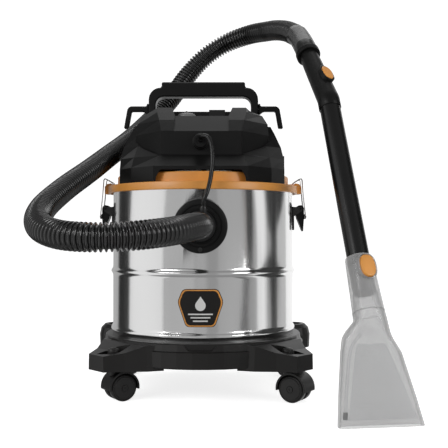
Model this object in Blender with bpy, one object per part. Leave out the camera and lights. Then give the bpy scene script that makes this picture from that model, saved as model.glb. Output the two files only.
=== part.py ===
"""Wet carpet cleaner: steel drum on a caster base, lift-off motor head, suction hose, wand and nozzle.

Metres, +Z up, the front faces -Y. Pieces are laid out from the drum's axis and moved together at the end.
"""

import math

import bmesh
import bpy
from mathutils import Matrix, Vector

# driving dimensions
GAP = 0.0004
FRAME_SHIFT = Vector((-0.0602585, 0.0657182, 0.0))
DRUM_R = 0.1625
DRUM_WALL = 0.0015
DRUM_BOTTOM = 0.0780
DRUM_RIM = 0.3560
BEADS = (0.1105, 0.2120)
INLET_Z = 0.289
INLET_BORE = 0.0250
SCREW_Z = INLET_Z - 0.0375
BASE_R = 0.180
ARM_BOTTOM = 0.055
WHEEL_R = 0.0225
CASTER_TRAIL = 0.0120
PIN_X = 0.1765
PIN_Z = 0.3225
PORT_WAY = Vector((0.05, -0.12, 1)).normalized()
ROUND = 44
SKIRT_Z = 0.3633
HOSE_R = 0.0205
TUBE_R = 0.0175
SOCKET_R = TUBE_R + 0.0006
PICKUP_AT = (0.0850, 0.0300)
HANDLE_LEG = 0.0945
HANDLE_Y = 0.0200
DIAL_AT = (-0.0270, -0.0620)
ROCKER_AT = (0.0260, -0.0620)

# name: (colour, roughness, metallic)
FINISHES = {
    "black_plastic": ((0.035, 0.034, 0.034), 0.45, 0.0),
    "gloss_black": ((0.020, 0.020, 0.020), 0.22, 0.0),
    "orange_plastic": ((0.80, 0.37, 0.08), 0.35, 0.0),
    "steel": ((0.72, 0.71, 0.70), 0.12, 1.0),
    "wire": ((0.55, 0.54, 0.52), 0.25, 1.0),
    "rubber": ((0.030, 0.030, 0.030), 0.80, 0.0),
    "foam": ((0.12, 0.12, 0.13), 0.95, 0.0),
    "grey_plastic": ((0.20, 0.20, 0.20), 0.40, 0.0),
    "white_plastic": ((0.75, 0.75, 0.73), 0.40, 0.0),
    "clear_plastic": ((0.80, 0.81, 0.82), 0.08, 0.0),
}


def clear_scene():
    for obj in list(bpy.data.objects):
        bpy.data.objects.remove(obj, do_unlink=True)


def material(name, finish):
    """A Principled material of its own for one sub-part."""
    colour, roughness, metallic = FINISHES[finish]
    mat = bpy.data.materials.new(name)
    mat.use_nodes = True
    shader = mat.node_tree.nodes["Principled BSDF"]
    shader.inputs["Base Color"].default_value = (*colour, 1.0)
    shader.inputs["Roughness"].default_value = roughness
    shader.inputs["Metallic"].default_value = metallic
    return mat


def add(name, verts, faces, finish, location=(0, 0, 0), smooth=False):
    """A closed mesh object with its faces turned outward."""
    mesh = bpy.data.meshes.new(name)
    mesh.from_pydata([tuple(v) for v in verts], [], faces)
    bm = bmesh.new()
    bm.from_mesh(mesh)
    bmesh.ops.recalc_face_normals(bm, faces=bm.faces)
    for face in bm.faces:
        face.smooth = smooth
    bm.to_mesh(mesh)
    bm.free()
    obj = bpy.data.objects.new(name, mesh)
    obj.location = location
    obj.data.materials.append(material(name, finish))
    bpy.context.scene.collection.objects.link(obj)
    return obj


def copy_of(source, name, location=None):
    """Another object on the same mesh."""
    obj = bpy.data.objects.new(name, source.data)
    obj.location = source.location if location is None else location
    obj.rotation_euler = source.rotation_euler
    bpy.context.scene.collection.objects.link(obj)
    return obj


def carve(obj, tools, operation="DIFFERENCE"):
    """Apply one exact boolean for each tool, and remove the tool."""
    for tool in tools:
        tool.hide_render = True
        tool.display_type = "WIRE"
        mod = obj.modifiers.new("carve", "BOOLEAN")
        mod.operation = operation
        mod.solver = "EXACT"
        mod.object = tool
        bpy.context.view_layer.update()
        graph = bpy.context.evaluated_depsgraph_get()
        mesh = bpy.data.meshes.new_from_object(obj.evaluated_get(graph))
        obj.modifiers.clear()
        mats = list(obj.data.materials)
        obj.data = mesh
        obj.data.materials.clear()
        for mat in mats:
            obj.data.materials.append(mat)
        for polygon in mesh.polygons:
            polygon.material_index = 0
        bpy.data.objects.remove(tool, do_unlink=True)
    return obj


def union(obj, tools):
    return carve(obj, tools, "UNION")


def moved(obj, matrix):
    """Move the mesh itself and leave the object's origin where it is."""
    obj.data.transform(matrix)
    if matrix.determinant() < 0:
        obj.data.flip_normals()
    return obj


def soften(obj, width, segments=2, angle=35):
    """Round the sharp edges."""
    mod = obj.modifiers.new("soften", "BEVEL")
    mod.width = width
    mod.segments = segments
    mod.limit_method = "ANGLE"
    mod.angle_limit = math.radians(angle)
    return obj


def bridge(rings, closed):
    """Faces between rings of vertex numbers; a ring of one vertex is a tip."""
    faces = []
    pairs = list(zip(rings, rings[1:]))
    if closed:
        pairs.append((rings[-1], rings[0]))
    for low, high in pairs:
        count = max(len(low), len(high))
        if count == 1:
            continue
        for k in range(count):
            j = (k + 1) % count
            corners = (low[k % len(low)], low[j % len(low)], high[j % len(high)], high[k % len(high)])
            faces.append(tuple(dict.fromkeys(corners)))
    return faces


def lathe(name, profile, finish, location=(0, 0, 0), segments=32, toward=(0, 0, 1), smooth=True):
    """A closed profile of (radius, height) turned about an axis that points toward."""
    turn = Vector((0, 0, 1)).rotation_difference(Vector(toward)).to_matrix()
    verts = []
    rings = []
    for radius, height in profile:
        count = segments if radius > 0 else 1
        rings.append(range(len(verts), len(verts) + count))
        for k in range(count):
            angle = 2 * math.pi * (k + 0.5) / segments
            verts.append(turn @ Vector((radius * math.cos(angle), radius * math.sin(angle), height)))
    return add(name, verts, bridge(rings, True), finish, location, smooth)


def loft(name, sections, finish, location=(0, 0, 0), smooth=False):
    """A solid through rings of points, with flat ends."""
    verts = [point for ring in sections for point in ring]
    count = len(sections[0])
    rings = [range(k * count, (k + 1) * count) for k in range(len(sections))]
    faces = bridge(rings, False) + [tuple(rings[0]), tuple(rings[-1])]
    return add(name, verts, faces, finish, location, smooth)


def prism(name, outline, low, high, finish, axis="Z", location=(0, 0, 0)):
    """A flat outline pushed along one axis, from low to high."""
    place = {
        "X": lambda a, b, c: (c, a, b),
        "Y": lambda a, b, c: (a, c, b),
        "Z": lambda a, b, c: (a, b, c),
    }[axis]
    return loft(name, [[place(a, b, c) for a, b in outline] for c in (low, high)], finish, location)


def box(name, low, high, finish, location=(0, 0, 0)):
    outline = [(low[0], low[1]), (high[0], low[1]), (high[0], high[1]), (low[0], high[1])]
    return prism(name, outline, low[2], high[2], finish, location=location)


def rod(name, start, end, radius, finish, segments=16):
    start, end = Vector(start), Vector(end)
    length = (end - start).length
    profile = [(0, 0), (radius, 0), (radius, length), (0, length)]
    return lathe(name, profile, finish, start, segments, end - start)


def smooth_route(points, step):
    """Points a step apart on a smooth curve through the route."""
    route = [Vector(p) for p in points]
    route = [2 * route[0] - route[1], *route, 2 * route[-1] - route[-2]]
    fine = []
    for a, b, c, d in zip(route, route[1:], route[2:], route[3:]):
        for k in range(24):
            t = k / 24
            fine.append(
                0.5 * (2 * b + (c - a) * t + (2 * a - 5 * b + 4 * c - d) * t**2 + (3 * b - a - 3 * c + d) * t**3)
            )
    fine.append(route[-2])
    total = sum((b - a).length for a, b in zip(fine, fine[1:]))
    count = max(2, round(total / step))
    spaced = [fine[0]]
    gone = 0.0
    for a, b in zip(fine, fine[1:]):
        part = (b - a).length
        while len(spaced) < count and gone + part >= total * len(spaced) / count:
            spaced.append(a.lerp(b, (total * len(spaced) / count - gone) / part))
        gone += part
    return spaced[:count] + [fine[-1]]


def rings_along(points, radii, segments):
    """Circles square to a path, without twist from one to the next."""
    points = [Vector(p) for p in points]
    ways = [(b - a).normalized() for a, b in zip(points, points[1:])]
    tangents = [ways[0]] + [(a + b).normalized() for a, b in zip(ways, ways[1:])] + [ways[-1]]
    side = tangents[0].orthogonal().normalized()
    rings = []
    for point, tangent, radius in zip(points, tangents, radii):
        side = (side - tangent * side.dot(tangent)).normalized()
        up = tangent.cross(side)
        turns = [2 * math.pi * k / segments for k in range(segments)]
        rings.append([point + radius * (side * math.cos(a) + up * math.sin(a)) for a in turns])
    return rings


def bent_rod(name, points, radius, finish, segments=10):
    """A solid rod through the points."""
    return loft(name, rings_along(points, [radius] * len(points), segments), finish, smooth=True)


def pipe(name, points, outer, inner, finish, segments=24):
    """A hollow pipe along a path, with a radius for each point or one for all."""
    outer = outer if isinstance(outer, list) else [outer] * len(points)
    inner = inner if isinstance(inner, list) else [inner] * len(points)
    outside = rings_along(points, outer, segments)
    inside = rings_along(points, inner, segments)
    verts = [point for ring in outside + inside[::-1] for point in ring]
    rings = [range(k * segments, (k + 1) * segments) for k in range(2 * len(points))]
    return add(name, verts, bridge(rings, True), finish, smooth=True)


def cord(name, route, diameter, finish, step):
    """A solid bent cord: a curve with a round bevel."""
    points = smooth_route(route, step)
    curve = bpy.data.curves.new(name, "CURVE")
    curve.dimensions = "3D"
    curve.bevel_depth = diameter / 2
    curve.bevel_resolution = 3
    curve.use_fill_caps = True
    spline = curve.splines.new("POLY")
    spline.points.add(len(points) - 1)
    for target, point in zip(spline.points, points):
        target.co = (*point, 1.0)
    obj = bpy.data.objects.new(name, curve)
    curve.materials.append(material(name, finish))
    bpy.context.scene.collection.objects.link(obj)
    return obj


def mirrored(points):
    return [(-x, *rest) for x, *rest in points][::-1]


def arc(centre, radius, start, end, steps):
    """Points on an arc in a plane, angles in degrees."""
    turns = [math.radians(start + (end - start) * k / steps) for k in range(steps + 1)]
    return [(centre[0] + radius * math.cos(a), centre[1] + radius * math.sin(a)) for a in turns]


# ---------------------------------------------------------------- drum and base


def drum_wall():
    """Outer wall points from the bottom corner up to the rim."""
    low = DRUM_BOTTOM
    wall = [(DRUM_R - 0.0050, low), (DRUM_R - 0.0014, low + 0.0015), (DRUM_R, low + 0.005)]
    for centre in BEADS:
        for rise, out in ((-0.0085, 0.0), (-0.0038, 0.0033), (0.0038, 0.0033), (0.0085, 0.0)):
            wall.append((DRUM_R + out, centre + rise))
    return wall + [(DRUM_R, DRUM_RIM - 0.005), (DRUM_R + 0.0015, DRUM_RIM - 0.003), (DRUM_R + 0.0015, DRUM_RIM)]


def drum():
    outer = drum_wall()
    inner = [(radius - DRUM_WALL, max(height, DRUM_BOTTOM + DRUM_WALL)) for radius, height in outer[::-1]]
    inner[0] = (DRUM_R - DRUM_WALL, DRUM_RIM)
    profile = [(0, DRUM_BOTTOM), *outer, *inner, (0, DRUM_BOTTOM + DRUM_WALL)]
    obj = lathe("tank_barrel", profile, "steel", segments=ROUND)
    return carve(obj, inlet_holes(INLET_BORE + 0.001))


def inlet_holes(bore):
    """Cutters for the hose opening and the flange's screw."""
    return [
        rod("bore", (0, -0.21, INLET_Z), (0, -0.12, INLET_Z), bore, "rubber", 20),
        rod("hole", (0, -0.21, SCREW_Z), (0, -0.12, SCREW_Z), 0.0024, "rubber", 12),
    ]


def arm_section(reach, half_width, top, way):
    """One upright section of an arm, square to the arm's direction."""
    along = Vector((math.sin(way), -math.cos(way), 0)) * reach
    across = Vector((math.cos(way), math.sin(way), 0)) * half_width
    return [
        along - across + Vector((0, 0, ARM_BOTTOM)),
        along + across + Vector((0, 0, ARM_BOTTOM)),
        along + across * 0.97 + Vector((0, 0, top)),
        along - across * 0.97 + Vector((0, 0, top)),
    ]


def leaf(tip, end, half_width, steps=8):
    """A pointed oval between two tips."""
    tip, end = Vector(tip), Vector(end)
    side = Vector((tip.y - end.y, end.x - tip.x)).normalized() * half_width
    shares = [k / steps for k in range(steps + 1)]
    there = [tip.lerp(end, t) + side * math.sin(math.pi * t) for t in shares]
    back = [end.lerp(tip, t) - side * math.sin(math.pi * t) for t in shares[1:-1]]
    return [tuple(point) for point in there + back]


def front_arm(side):
    """A front arm: a pointed tool holder with a domed peg in it."""
    way = side * math.radians(47)
    stations = ((0.150, 0.074, 0.0960), (0.176, 0.062, 0.0960), (0.203, 0.040, 0.0850), (0.2315, 0.0212, 0.0805))
    arm = loft("arm", [arm_section(*station, way) for station in stations], "black_plastic")
    holder = leaf((side * 0.170, -0.1515), (side * 0.114, -0.1395), 0.0150)
    carve(arm, [prism("holder", holder, 0.0715, 0.12, "black_plastic")])
    peg = [(0, 0.070), (0.0100, 0.070), (0.0100, 0.0860), (0.0085, 0.0890), (0.0050, 0.0908), (0, 0.0914)]
    return union(arm, [lathe("peg", peg, "black_plastic", (side * 0.1425, -0.1465, 0), 20)])


def rear_arm(side):
    """A rear arm: a raised round socket on a short web."""
    centre = (side * 0.172, 0.125, 0)
    way = side * math.radians(126)
    stations = ((0.150, 0.050, 0.0900), (0.190, 0.036, 0.0860))
    arm = loft("arm", [arm_section(*station, way) for station in stations], "black_plastic")
    boss = [(0, ARM_BOTTOM), (0.0350, ARM_BOTTOM), (0.0360, 0.080), (0.0330, 0.0930), (0.0260, 0.1000), (0, 0.1000)]
    union(arm, [lathe("boss", boss, "black_plastic", centre, 28)])
    low, high = Vector(centre) + Vector((0, 0, 0.0720)), Vector(centre) + Vector((0, 0, 0.12))
    return carve(arm, [rod("socket", low, high, 0.0185, "black_plastic", 28)])


def caster_swivels():
    """Name, swivel axis (x, y) and heading of each caster."""
    front = (0.1455, -0.1235)
    rear = (0.1600, 0.1170)
    return [
        ("front_left", (-front[0], front[1]), math.radians(-58)),
        ("front_right", (front[0], front[1]), math.radians(238)),
        ("rear_left", (-rear[0], rear[1]), math.radians(-30)),
        ("rear_right", (rear[0], rear[1]), math.radians(205)),
    ]


def base():
    """The moulded base tray with its four arms."""
    seat = DRUM_R + 0.0006
    profile = [
        (0, 0.0680), (0.1690, 0.0680), (0.1700, 0.0600), (BASE_R - 0.001, 0.0600), (BASE_R, 0.0620),
        (BASE_R, 0.0865), (BASE_R - 0.0030, 0.0880), (BASE_R - 0.0045, 0.0985), (BASE_R - 0.0060, 0.1000),
        (0, 0.1000),
    ]
    obj = lathe("base_chassis", profile, "black_plastic", segments=ROUND)
    union(obj, [front_arm(-1), front_arm(1), rear_arm(-1), rear_arm(1)])
    notch = [(-0.0290, 0.1010), (0.0290, 0.1010), (0.0190, 0.0890), (-0.0190, 0.0890)]
    tools = [prism("notch", notch, -0.19, -0.1715, "black_plastic", "Y")]
    tools.append(rod("bowl", (0, 0, 0.0775), (0, 0, 0.12), seat, "black_plastic", ROUND))
    for _, (x, y), _ in caster_swivels():
        tools.append(rod("socket", (x, y, 0.040), (x, y, 0.0665), 0.0053, "black_plastic", 16))
    return carve(obj, tools)


def badge_outline(scale):
    """Six-sided outline, widest above its middle, in (x, z) from the plate's centre."""
    points = [(0.0235, -0.0305), (0.0375, 0.0100), (0.0290, 0.0305)]
    return [(x * scale, z * scale) for x, z in points + [(-x, z) for x, z in points[::-1]]]


def badge():
    """A thin plate bent to the drum, with a raised rim and no lettering."""
    centre = Vector((0, 0, 0.1570))
    plate = prism("badge_plate", badge_outline(1.0), -0.1670, -0.1500, "black_plastic", "Y", centre)
    inner = prism("inner", badge_outline(0.90), -0.1800, -0.1500, "black_plastic", "Y", centre)
    shell = [(DRUM_R + 0.0004, 0.11), (DRUM_R + 0.0020, 0.11), (DRUM_R + 0.0020, 0.20), (DRUM_R + 0.0004, 0.20)]
    carve(plate, [lathe("shell", shell, "black_plastic", segments=96)], "INTERSECT")
    rim = [(DRUM_R + 0.0014, 0.11), (DRUM_R + 0.0030, 0.11), (DRUM_R + 0.0030, 0.20), (DRUM_R + 0.0014, 0.20)]
    return carve(plate, [carve(inner, [lathe("rim", rim, "black_plastic", segments=96)], "INTERSECT")])


def inlet():
    """Flange, gasket, screws and the deflector inside the drum."""
    gasket_out = DRUM_R + 0.0018
    profile = [
        (INLET_BORE, -0.1760), (0.0280, -0.1760), (0.0290, -0.1745), (0.0325, -0.1740), (0.0330, -0.1725),
        (0.0345, -0.1725), (0.0350, -0.1740), (0.0425, -0.1735), (0.0440, -0.1715), (0.0440, -0.1400),
        (INLET_BORE, -0.1400),
    ]
    flange = lathe("inlet_flange", profile, "black_plastic", (0, 0, INLET_Z), 30, (0, 1, 0))
    tools = [rod("drum", (0, 0, 0.2), (0, 0, 0.36), gasket_out + GAP, "rubber", 96)]
    tools.append(rod("hole", (0, -0.21, SCREW_Z), (0, -0.14, SCREW_Z), 0.0024, "rubber", 12))
    tools.append(rod("sink", (0, -0.21, SCREW_Z), (0, -0.1712, SCREW_Z), 0.0042, "rubber", 16))
    carve(flange, tools)
    gasket = rod("inlet_gasket", (0, -0.20, INLET_Z), (0, -0.14, INLET_Z), 0.0430, "rubber", 30)
    band = [(DRUM_R + GAP, 0.2), (gasket_out, 0.2), (gasket_out, 0.36), (DRUM_R + GAP, 0.36)]
    carve(gasket, [lathe("band", band, "rubber", segments=96)], "INTERSECT")
    carve(gasket, inlet_holes(INLET_BORE + 0.001))
    screw = [(0, 0), (0.0036, 0), (0.0038, 0.0010), (0.0038, 0.0022), (0.0020, 0.0022), (0.0020, 0.0230),
             (0, 0.0230)]
    lathe("inlet_screw", screw, "steel", (0, -0.1739, SCREW_Z), 12, (0, 1, 0))
    hood = pipe("inlet_deflector", deflector_path(), 0.0240, 0.0225, "black_plastic", 16)
    return flange, gasket, hood


def deflector_path():
    """From the inlet straight in, then down."""
    bend = arc((-0.118, INLET_Z - 0.030), 0.030, 90, 0, 4)
    return [(0, -0.1690, INLET_Z)] + [(0, y, z) for y, z in bend] + [(0, -0.088, INLET_Z - 0.040)]


def hose_cuff():
    """The hose's end: a sleeve in the flange, with the solution tube's port on top."""
    axis = [(0, -0.1500, INLET_Z), (0, -0.1770, INLET_Z), (0, -0.1780, INLET_Z), (0, -0.1860, INLET_Z),
            (0, -0.1880, INLET_Z), (0, -0.2000, INLET_Z)]
    outer = [0.0218, 0.0218, 0.0245, 0.0245, 0.0226, 0.0222]
    sleeve = pipe("hose_cuff", axis, outer, 0.0180, "black_plastic", 18)
    port = [(0, 0), (0.0062, 0), (0.0062, 0.0100), (0.0052, 0.0125), (0, 0.0125)]
    union(sleeve, [lathe("port", port, "black_plastic", (0.0050, -0.1930, INLET_Z + 0.0190), 16, PORT_WAY)])
    return sleeve


# ---------------------------------------------------------------- latches


def latch(side):
    """Bracket, over-centre lever and wire bail on one side of the drum."""
    label = "right" if side > 0 else "left"
    pin = (side * PIN_X, 0, PIN_Z)
    hook = (side * (PIN_X + 0.0087), 0, PIN_Z - 0.0150)
    half = 0.0105
    plate = [(0.1629, 0.2840), (0.1650, 0.2840), (0.1650, 0.3260), (0.1629, 0.3260)]
    bracket = prism(f"latch_bracket_{label}", plate, -0.0150, 0.0150, "steel", "Y")
    ear = [(0.1640, 0.3080), (0.1790, 0.3180), (0.1800, 0.3225), (0.1785, 0.3260), (0.1640, 0.3258)]
    union(bracket, [prism("ear", ear, low, low + 0.0015, "steel", "Y") for low in (-0.0140, 0.0125)])
    carve(bracket, [rod("drum", (0, 0, 0.27), (0, 0, 0.34), DRUM_R + GAP, "steel", 96)])
    carve(bracket, [rod("eye", (pin[0] * side, -0.02, pin[2]), (pin[0] * side, 0.02, pin[2]), 0.0023, "steel", 12)])
    body = [
        (0.1692, 0.3100), (0.1700, 0.3060), (0.1800, 0.2815), (0.1816, 0.2822), (0.1830, 0.3030), (0.1832, 0.3230),
        (0.1818, 0.3270), (0.1780, 0.3292), (0.1735, 0.3286), (0.1703, 0.3262), (0.1692, 0.3225),
    ]
    at_pin = [(x - PIN_X, z - PIN_Z) for x, z in body]
    lever = prism(f"latch_lever_{label}", at_pin, -half, half, "black_plastic", "Y")
    lug = [(0.0010, -0.0120), (0.0076, -0.0186), (0.0106, -0.0178), (0.0114, -0.0132), (0.0050, -0.0070)]
    union(lever, [prism("lug", lug, -0.0080, 0.0080, "black_plastic", "Y")])
    carve(lever, [rod("eye", (0.0087, -0.02, -0.0150), (0.0087, 0.02, -0.0150), 0.0016, "black_plastic", 12)])
    union(lever, [rod("pin", (0, -0.0146, 0), (0, 0.0146, 0), 0.0019, "black_plastic", 12)])
    wire = bail(f"latch_bail_{label}")
    for obj in (bracket, lever, wire):
        if side < 0:
            moved(obj, Matrix.Scale(-1, 4, (1, 0, 0)))
    lever.location = pin
    wire.location = hook
    return bracket, lever, wire


def bail(name):
    """A closed loop of wire: cross pin below, two legs, and a cross bar hooked over the lid's ear."""
    half = 0.0160
    route = [
        (0, 0, 0), (0, half - 0.002, 0), (0, half, 0.002), (-0.0035, half, 0.0350), (-0.0060, half, 0.0665),
        (-0.0075, half, 0.0690), (-0.0110, half, 0.0682), (-0.0205, half, 0.0622), (-0.0212, half - 0.002, 0.0614),
    ]
    loop = route + [(x, -y, z) for x, y, z in route[:0:-1]]
    rings = []
    count = len(loop)
    verts = []
    for k, point in enumerate(loop):
        before, here, after = Vector(loop[k - 1]), Vector(point), Vector(loop[(k + 1) % count])
        tangent = ((here - before).normalized() + (after - here).normalized()).normalized()
        outward = (here - Vector((-0.008, 0, 0.034))).cross(tangent).normalized()
        inward = tangent.cross(outward)
        rings.append(range(len(verts), len(verts) + 6))
        turns = [2 * math.pi * m / 6 for m in range(6)]
        verts += [here + 0.0011 * (outward * math.cos(a) + inward * math.sin(a)) for a in turns]
    return add(name, verts, bridge(rings, True), "wire", smooth=True)


# ---------------------------------------------------------------- casters


def casters():
    """Four swivelling twin-wheel casters; every copy shares the first one's meshes."""
    first = None
    for label, (x, y), heading in caster_swivels():
        if first is None:
            first = caster_hood(f"caster_{label}"), caster_wheel(f"wheel_{label}_a")
            hood, wheel = first
        else:
            hood = copy_of(first[0], f"caster_{label}")
            wheel = copy_of(first[1], f"wheel_{label}_a")
        hood.location = (x, y, WHEEL_R)
        hood.rotation_euler = (0, 0, heading)
        turn = Matrix.Rotation(heading, 3, "Z")
        axle = Vector((x, y, WHEEL_R)) + turn @ Vector((0, CASTER_TRAIL, 0))
        other = copy_of(wheel, f"wheel_{label}_b")
        wheel.location = axle + turn @ Vector((0.0036, 0, 0))
        wheel.rotation_euler = (0, math.pi / 2, heading)
        other.location = axle - turn @ Vector((0.0036, 0, 0))
        other.rotation_euler = (0, -math.pi / 2, heading)


def caster_hood(name):
    """Web between the wheels, fender over them, axle and swivel stem. The origin is on the swivel axis."""
    outer = WHEEL_R + 0.0042
    inner = WHEEL_R + 0.0012
    fender = arc((CASTER_TRAIL, 0), outer, -8, 188, 9) + arc((CASTER_TRAIL, 0), inner, 188, -8, 9)
    hood = prism(name, fender, -0.0190, 0.0190, "black_plastic", "X")
    web = arc((CASTER_TRAIL, 0), WHEEL_R + 0.0030, 0, 180, 8)
    web += [(CASTER_TRAIL - 0.012, -0.0130), (CASTER_TRAIL + 0.012, -0.0130)]
    union(hood, [prism("web", web, -0.0032, 0.0032, "black_plastic", "X")])
    union(hood, [rod("axle", (-0.0140, CASTER_TRAIL, 0), (0.0140, CASTER_TRAIL, 0), 0.0030, "black_plastic", 12)])
    post = [(0, 0.0200), (0.0085, 0.0200), (0.0085, 0.0315), (0.0048, 0.0315), (0.0048, 0.0430), (0, 0.0430)]
    stem = lathe("stem", post, "black_plastic", segments=16)
    rooms = [
        rod("room", (side * 0.0032, CASTER_TRAIL, 0), (side * 0.03, CASTER_TRAIL, 0), inner, "black_plastic", 18)
        for side in (-1, 1)
    ]
    carve(stem, rooms)
    return union(hood, [stem])


def caster_wheel(name):
    """One wheel: a dished disc with a blind bore, its bore opening at the origin, facing +Z outward."""
    r = WHEEL_R
    profile = [
        (0.0034, 0), (r - 0.0015, 0), (r, 0.0015), (r, 0.0120), (r - 0.0025, 0.0148), (0.0060, 0.0160), (0, 0.0160),
        (0, 0.0110), (0.0034, 0.0110),
    ]
    return lathe(name, profile, "black_plastic", segments=18)


# ---------------------------------------------------------------- motor head


def lid():
    """Orange ring: grooved flange on the drum's rim, a raised inner wall, and an ear for each bail."""
    flange = 0.1715
    wall_in, wall_out = 0.1500, 0.1545
    profile = [
        (wall_in, 0.3450), (0.1590, 0.3450), (0.1590, 0.3580), (0.1668, 0.3580), (0.1668, 0.3490),
        (flange, 0.3490), (flange, 0.3612), (flange - 0.0010, 0.3622), (wall_out, 0.3622), (wall_out, 0.3782),
        (wall_out - 0.0010, 0.3792), (wall_in + 0.0010, 0.3792), (wall_in, 0.3782),
    ]
    ring = lathe("lid_ring", profile, "orange_plastic", segments=ROUND)
    for side in (-1, 1):
        ear = [
            (0.1690, 0.3492), (0.1770, 0.3492), (0.1780, 0.3502), (0.1780, 0.3625), (0.1740, 0.3672), (0.1672, 0.3686),
            (0.1660, 0.3668), (0.1540, 0.3668), (0.1540, 0.3600), (0.1690, 0.3600),
        ]
        points = ear if side > 0 else mirrored(ear)
        union(ring, [prism("ear", points, -0.0130, 0.0130, "orange_plastic", "Y")])
    low, high = 0.1390, 0.1442
    slots = [box("slot", (low, -0.09, 0.3626), (high, 0.09, 0.40), "orange_plastic")]
    slots.append(box("slot", (-high, -0.09, 0.3626), (-low, 0.09, 0.40), "orange_plastic"))
    carve(ring, slots)
    seal = [(0.1600, DRUM_RIM + 0.0003), (0.1658, DRUM_RIM + 0.0003), (0.1658, 0.3577), (0.1600, 0.3577)]
    lathe("lid_seal", seal, "rubber", segments=ROUND)
    plate = [(0.0200, 0.3595), (0.1495, 0.3595), (0.1495, 0.3622), (0.0200, 0.3622)]
    floor = lathe("motor_plate", plate, "black_plastic", segments=32)
    carve(floor, [rod("hole", (*PICKUP_AT, 0.35), (*PICKUP_AT, 0.37), 0.0035, "black_plastic", 16)])
    return ring


def plan(z, half_x, side_y, mid, front_x, half_y):
    """A twelve-sided plan outline at one height, the same left and right, front and back."""
    quarter = [(half_x, side_y), mid, (front_x, half_y)] if mid else [(half_x, side_y), (front_x, half_y)]
    back = [(-x, y) for x, y in quarter[::-1]]
    ring = quarter + back
    ring += [(x, -y) for x, y in ring[::-1]]
    return [(x, y, z) for x, y in ring]


UPPER_SECTIONS = (
    (0.4090, 0.1175, 0.058, None, 0.067, 0.1250),
    (0.4490, 0.1165, 0.058, None, 0.067, 0.1245),
    (0.4700, 0.1150, 0.050, None, 0.072, 0.1050),
    (0.4860, 0.1060, 0.042, None, 0.077, 0.0860),
    (0.4960, 0.0840, 0.036, None, 0.076, 0.0740),
)


def upper_housing():
    """Motor cover with a shallow tray for the controls; open below."""
    shell = loft("upper_housing", [plan(*section) for section in UPPER_SECTIONS], "black_plastic")
    cavity = [
        (0.4000, 0.1145, 0.0565, None, 0.0655, 0.1220),
        (0.4490, 0.1135, 0.0560, None, 0.0650, 0.1210),
        (0.4740, 0.1080, 0.0450, None, 0.0670, 0.0940),
    ]
    tray = [(-0.0460, 0.4790), (0.0460, 0.4790), (0.0580, 0.5100), (-0.0580, 0.5100)]
    chute = [(-0.1400, 0.4480), (-0.1250, 0.4480), (-0.0900, 0.4790), (-0.0400, 0.4790), (-0.0400, 0.5100),
             (-0.1400, 0.5100)]
    tools = [
        loft("cavity", [plan(*section) for section in cavity], "black_plastic"),
        prism("tray", tray, -0.0950, -0.0300, "black_plastic", "Y"),
        prism("chute", chute, -0.0460, 0.0460, "black_plastic", "X"),
    ]
    for x in (-HANDLE_LEG, HANDLE_LEG):
        low, high = (x - 0.0070, HANDLE_Y - 0.0130, 0.4800), (x + 0.0070, HANDLE_Y + 0.0130, 0.51)
        tools.append(box("pocket", low, high, "black_plastic"))
    tools.append(rod("bore", (*DIAL_AT, 0.4765), (*DIAL_AT, 0.4830), 0.0034, "black_plastic", 16))
    x, y = ROCKER_AT
    tools.append(box("well", (x - 0.0152, y - 0.0107, 0.4765), (x + 0.0152, y + 0.0107, 0.4830), "black_plastic"))
    return carve(shell, tools)


def lower_housing():
    """Skirt that carries the motor cover: open below, with an arch in front and behind for the lid's wall."""
    base_plan = (0.143, 0.072, (0.118, 0.112), 0.078, 0.150)
    sections = [
        (SKIRT_Z, *base_plan),
        (0.3880, *base_plan),
        (0.4070, 0.1425, 0.064, (0.1155, 0.0970), 0.070, 0.1290),
        (0.4290, 0.1385, 0.050, (0.1120, 0.0700), 0.064, 0.0840),
        (0.4550, 0.1275, 0.040, (0.1080, 0.0500), 0.060, 0.0600),
        (0.4680, 0.1212, 0.034, (0.1040, 0.0440), 0.060, 0.0540),
    ]
    shell = loft("lower_housing", [plan(*section) for section in sections], "black_plastic")
    cavity = [
        (0.3500, 0.1400, 0.0705, (0.1155, 0.1095), 0.0765, 0.1470),
        (0.3870, 0.1400, 0.0705, (0.1155, 0.1095), 0.0765, 0.1470),
        (0.4045, 0.1400, 0.0650, (0.1145, 0.0980), 0.0690, 0.1280),
    ]
    seat = [(z, x + GAP, y + GAP, None, front_x + GAP, y_end + GAP) for z, x, y, _, front_x, y_end in UPPER_SECTIONS]
    seat[0] = (seat[0][0] - GAP, *seat[0][1:])
    arch = [(-0.0750, 0.3500), (0.0750, 0.3500), (0.0735, 0.3700), (0.0680, 0.3800), (0.0650, 0.3822),
            (-0.0650, 0.3822), (-0.0680, 0.3800), (-0.0735, 0.3700)]
    tools = [loft("cavity", [plan(*section) for section in cavity], "black_plastic")]
    tools.append(loft("seat", [plan(*section) for section in seat], "black_plastic"))
    tools.append(prism("arch", arch, -0.20, 0.20, "black_plastic", "Y"))
    tools.append(rod("opening", (0, 0, 0.400), (0, 0, 0.412), 0.0900, "black_plastic", 48))
    carve(shell, tools)
    pads = [box("pad", (0.1420, -0.0230, 0.3830), (0.1465, 0.0230, 0.4170), "black_plastic")]
    pads.append(box("pad", (-0.1465, -0.0230, 0.3830), (-0.1420, 0.0230, 0.4170), "black_plastic"))
    return union(shell, pads)


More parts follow.
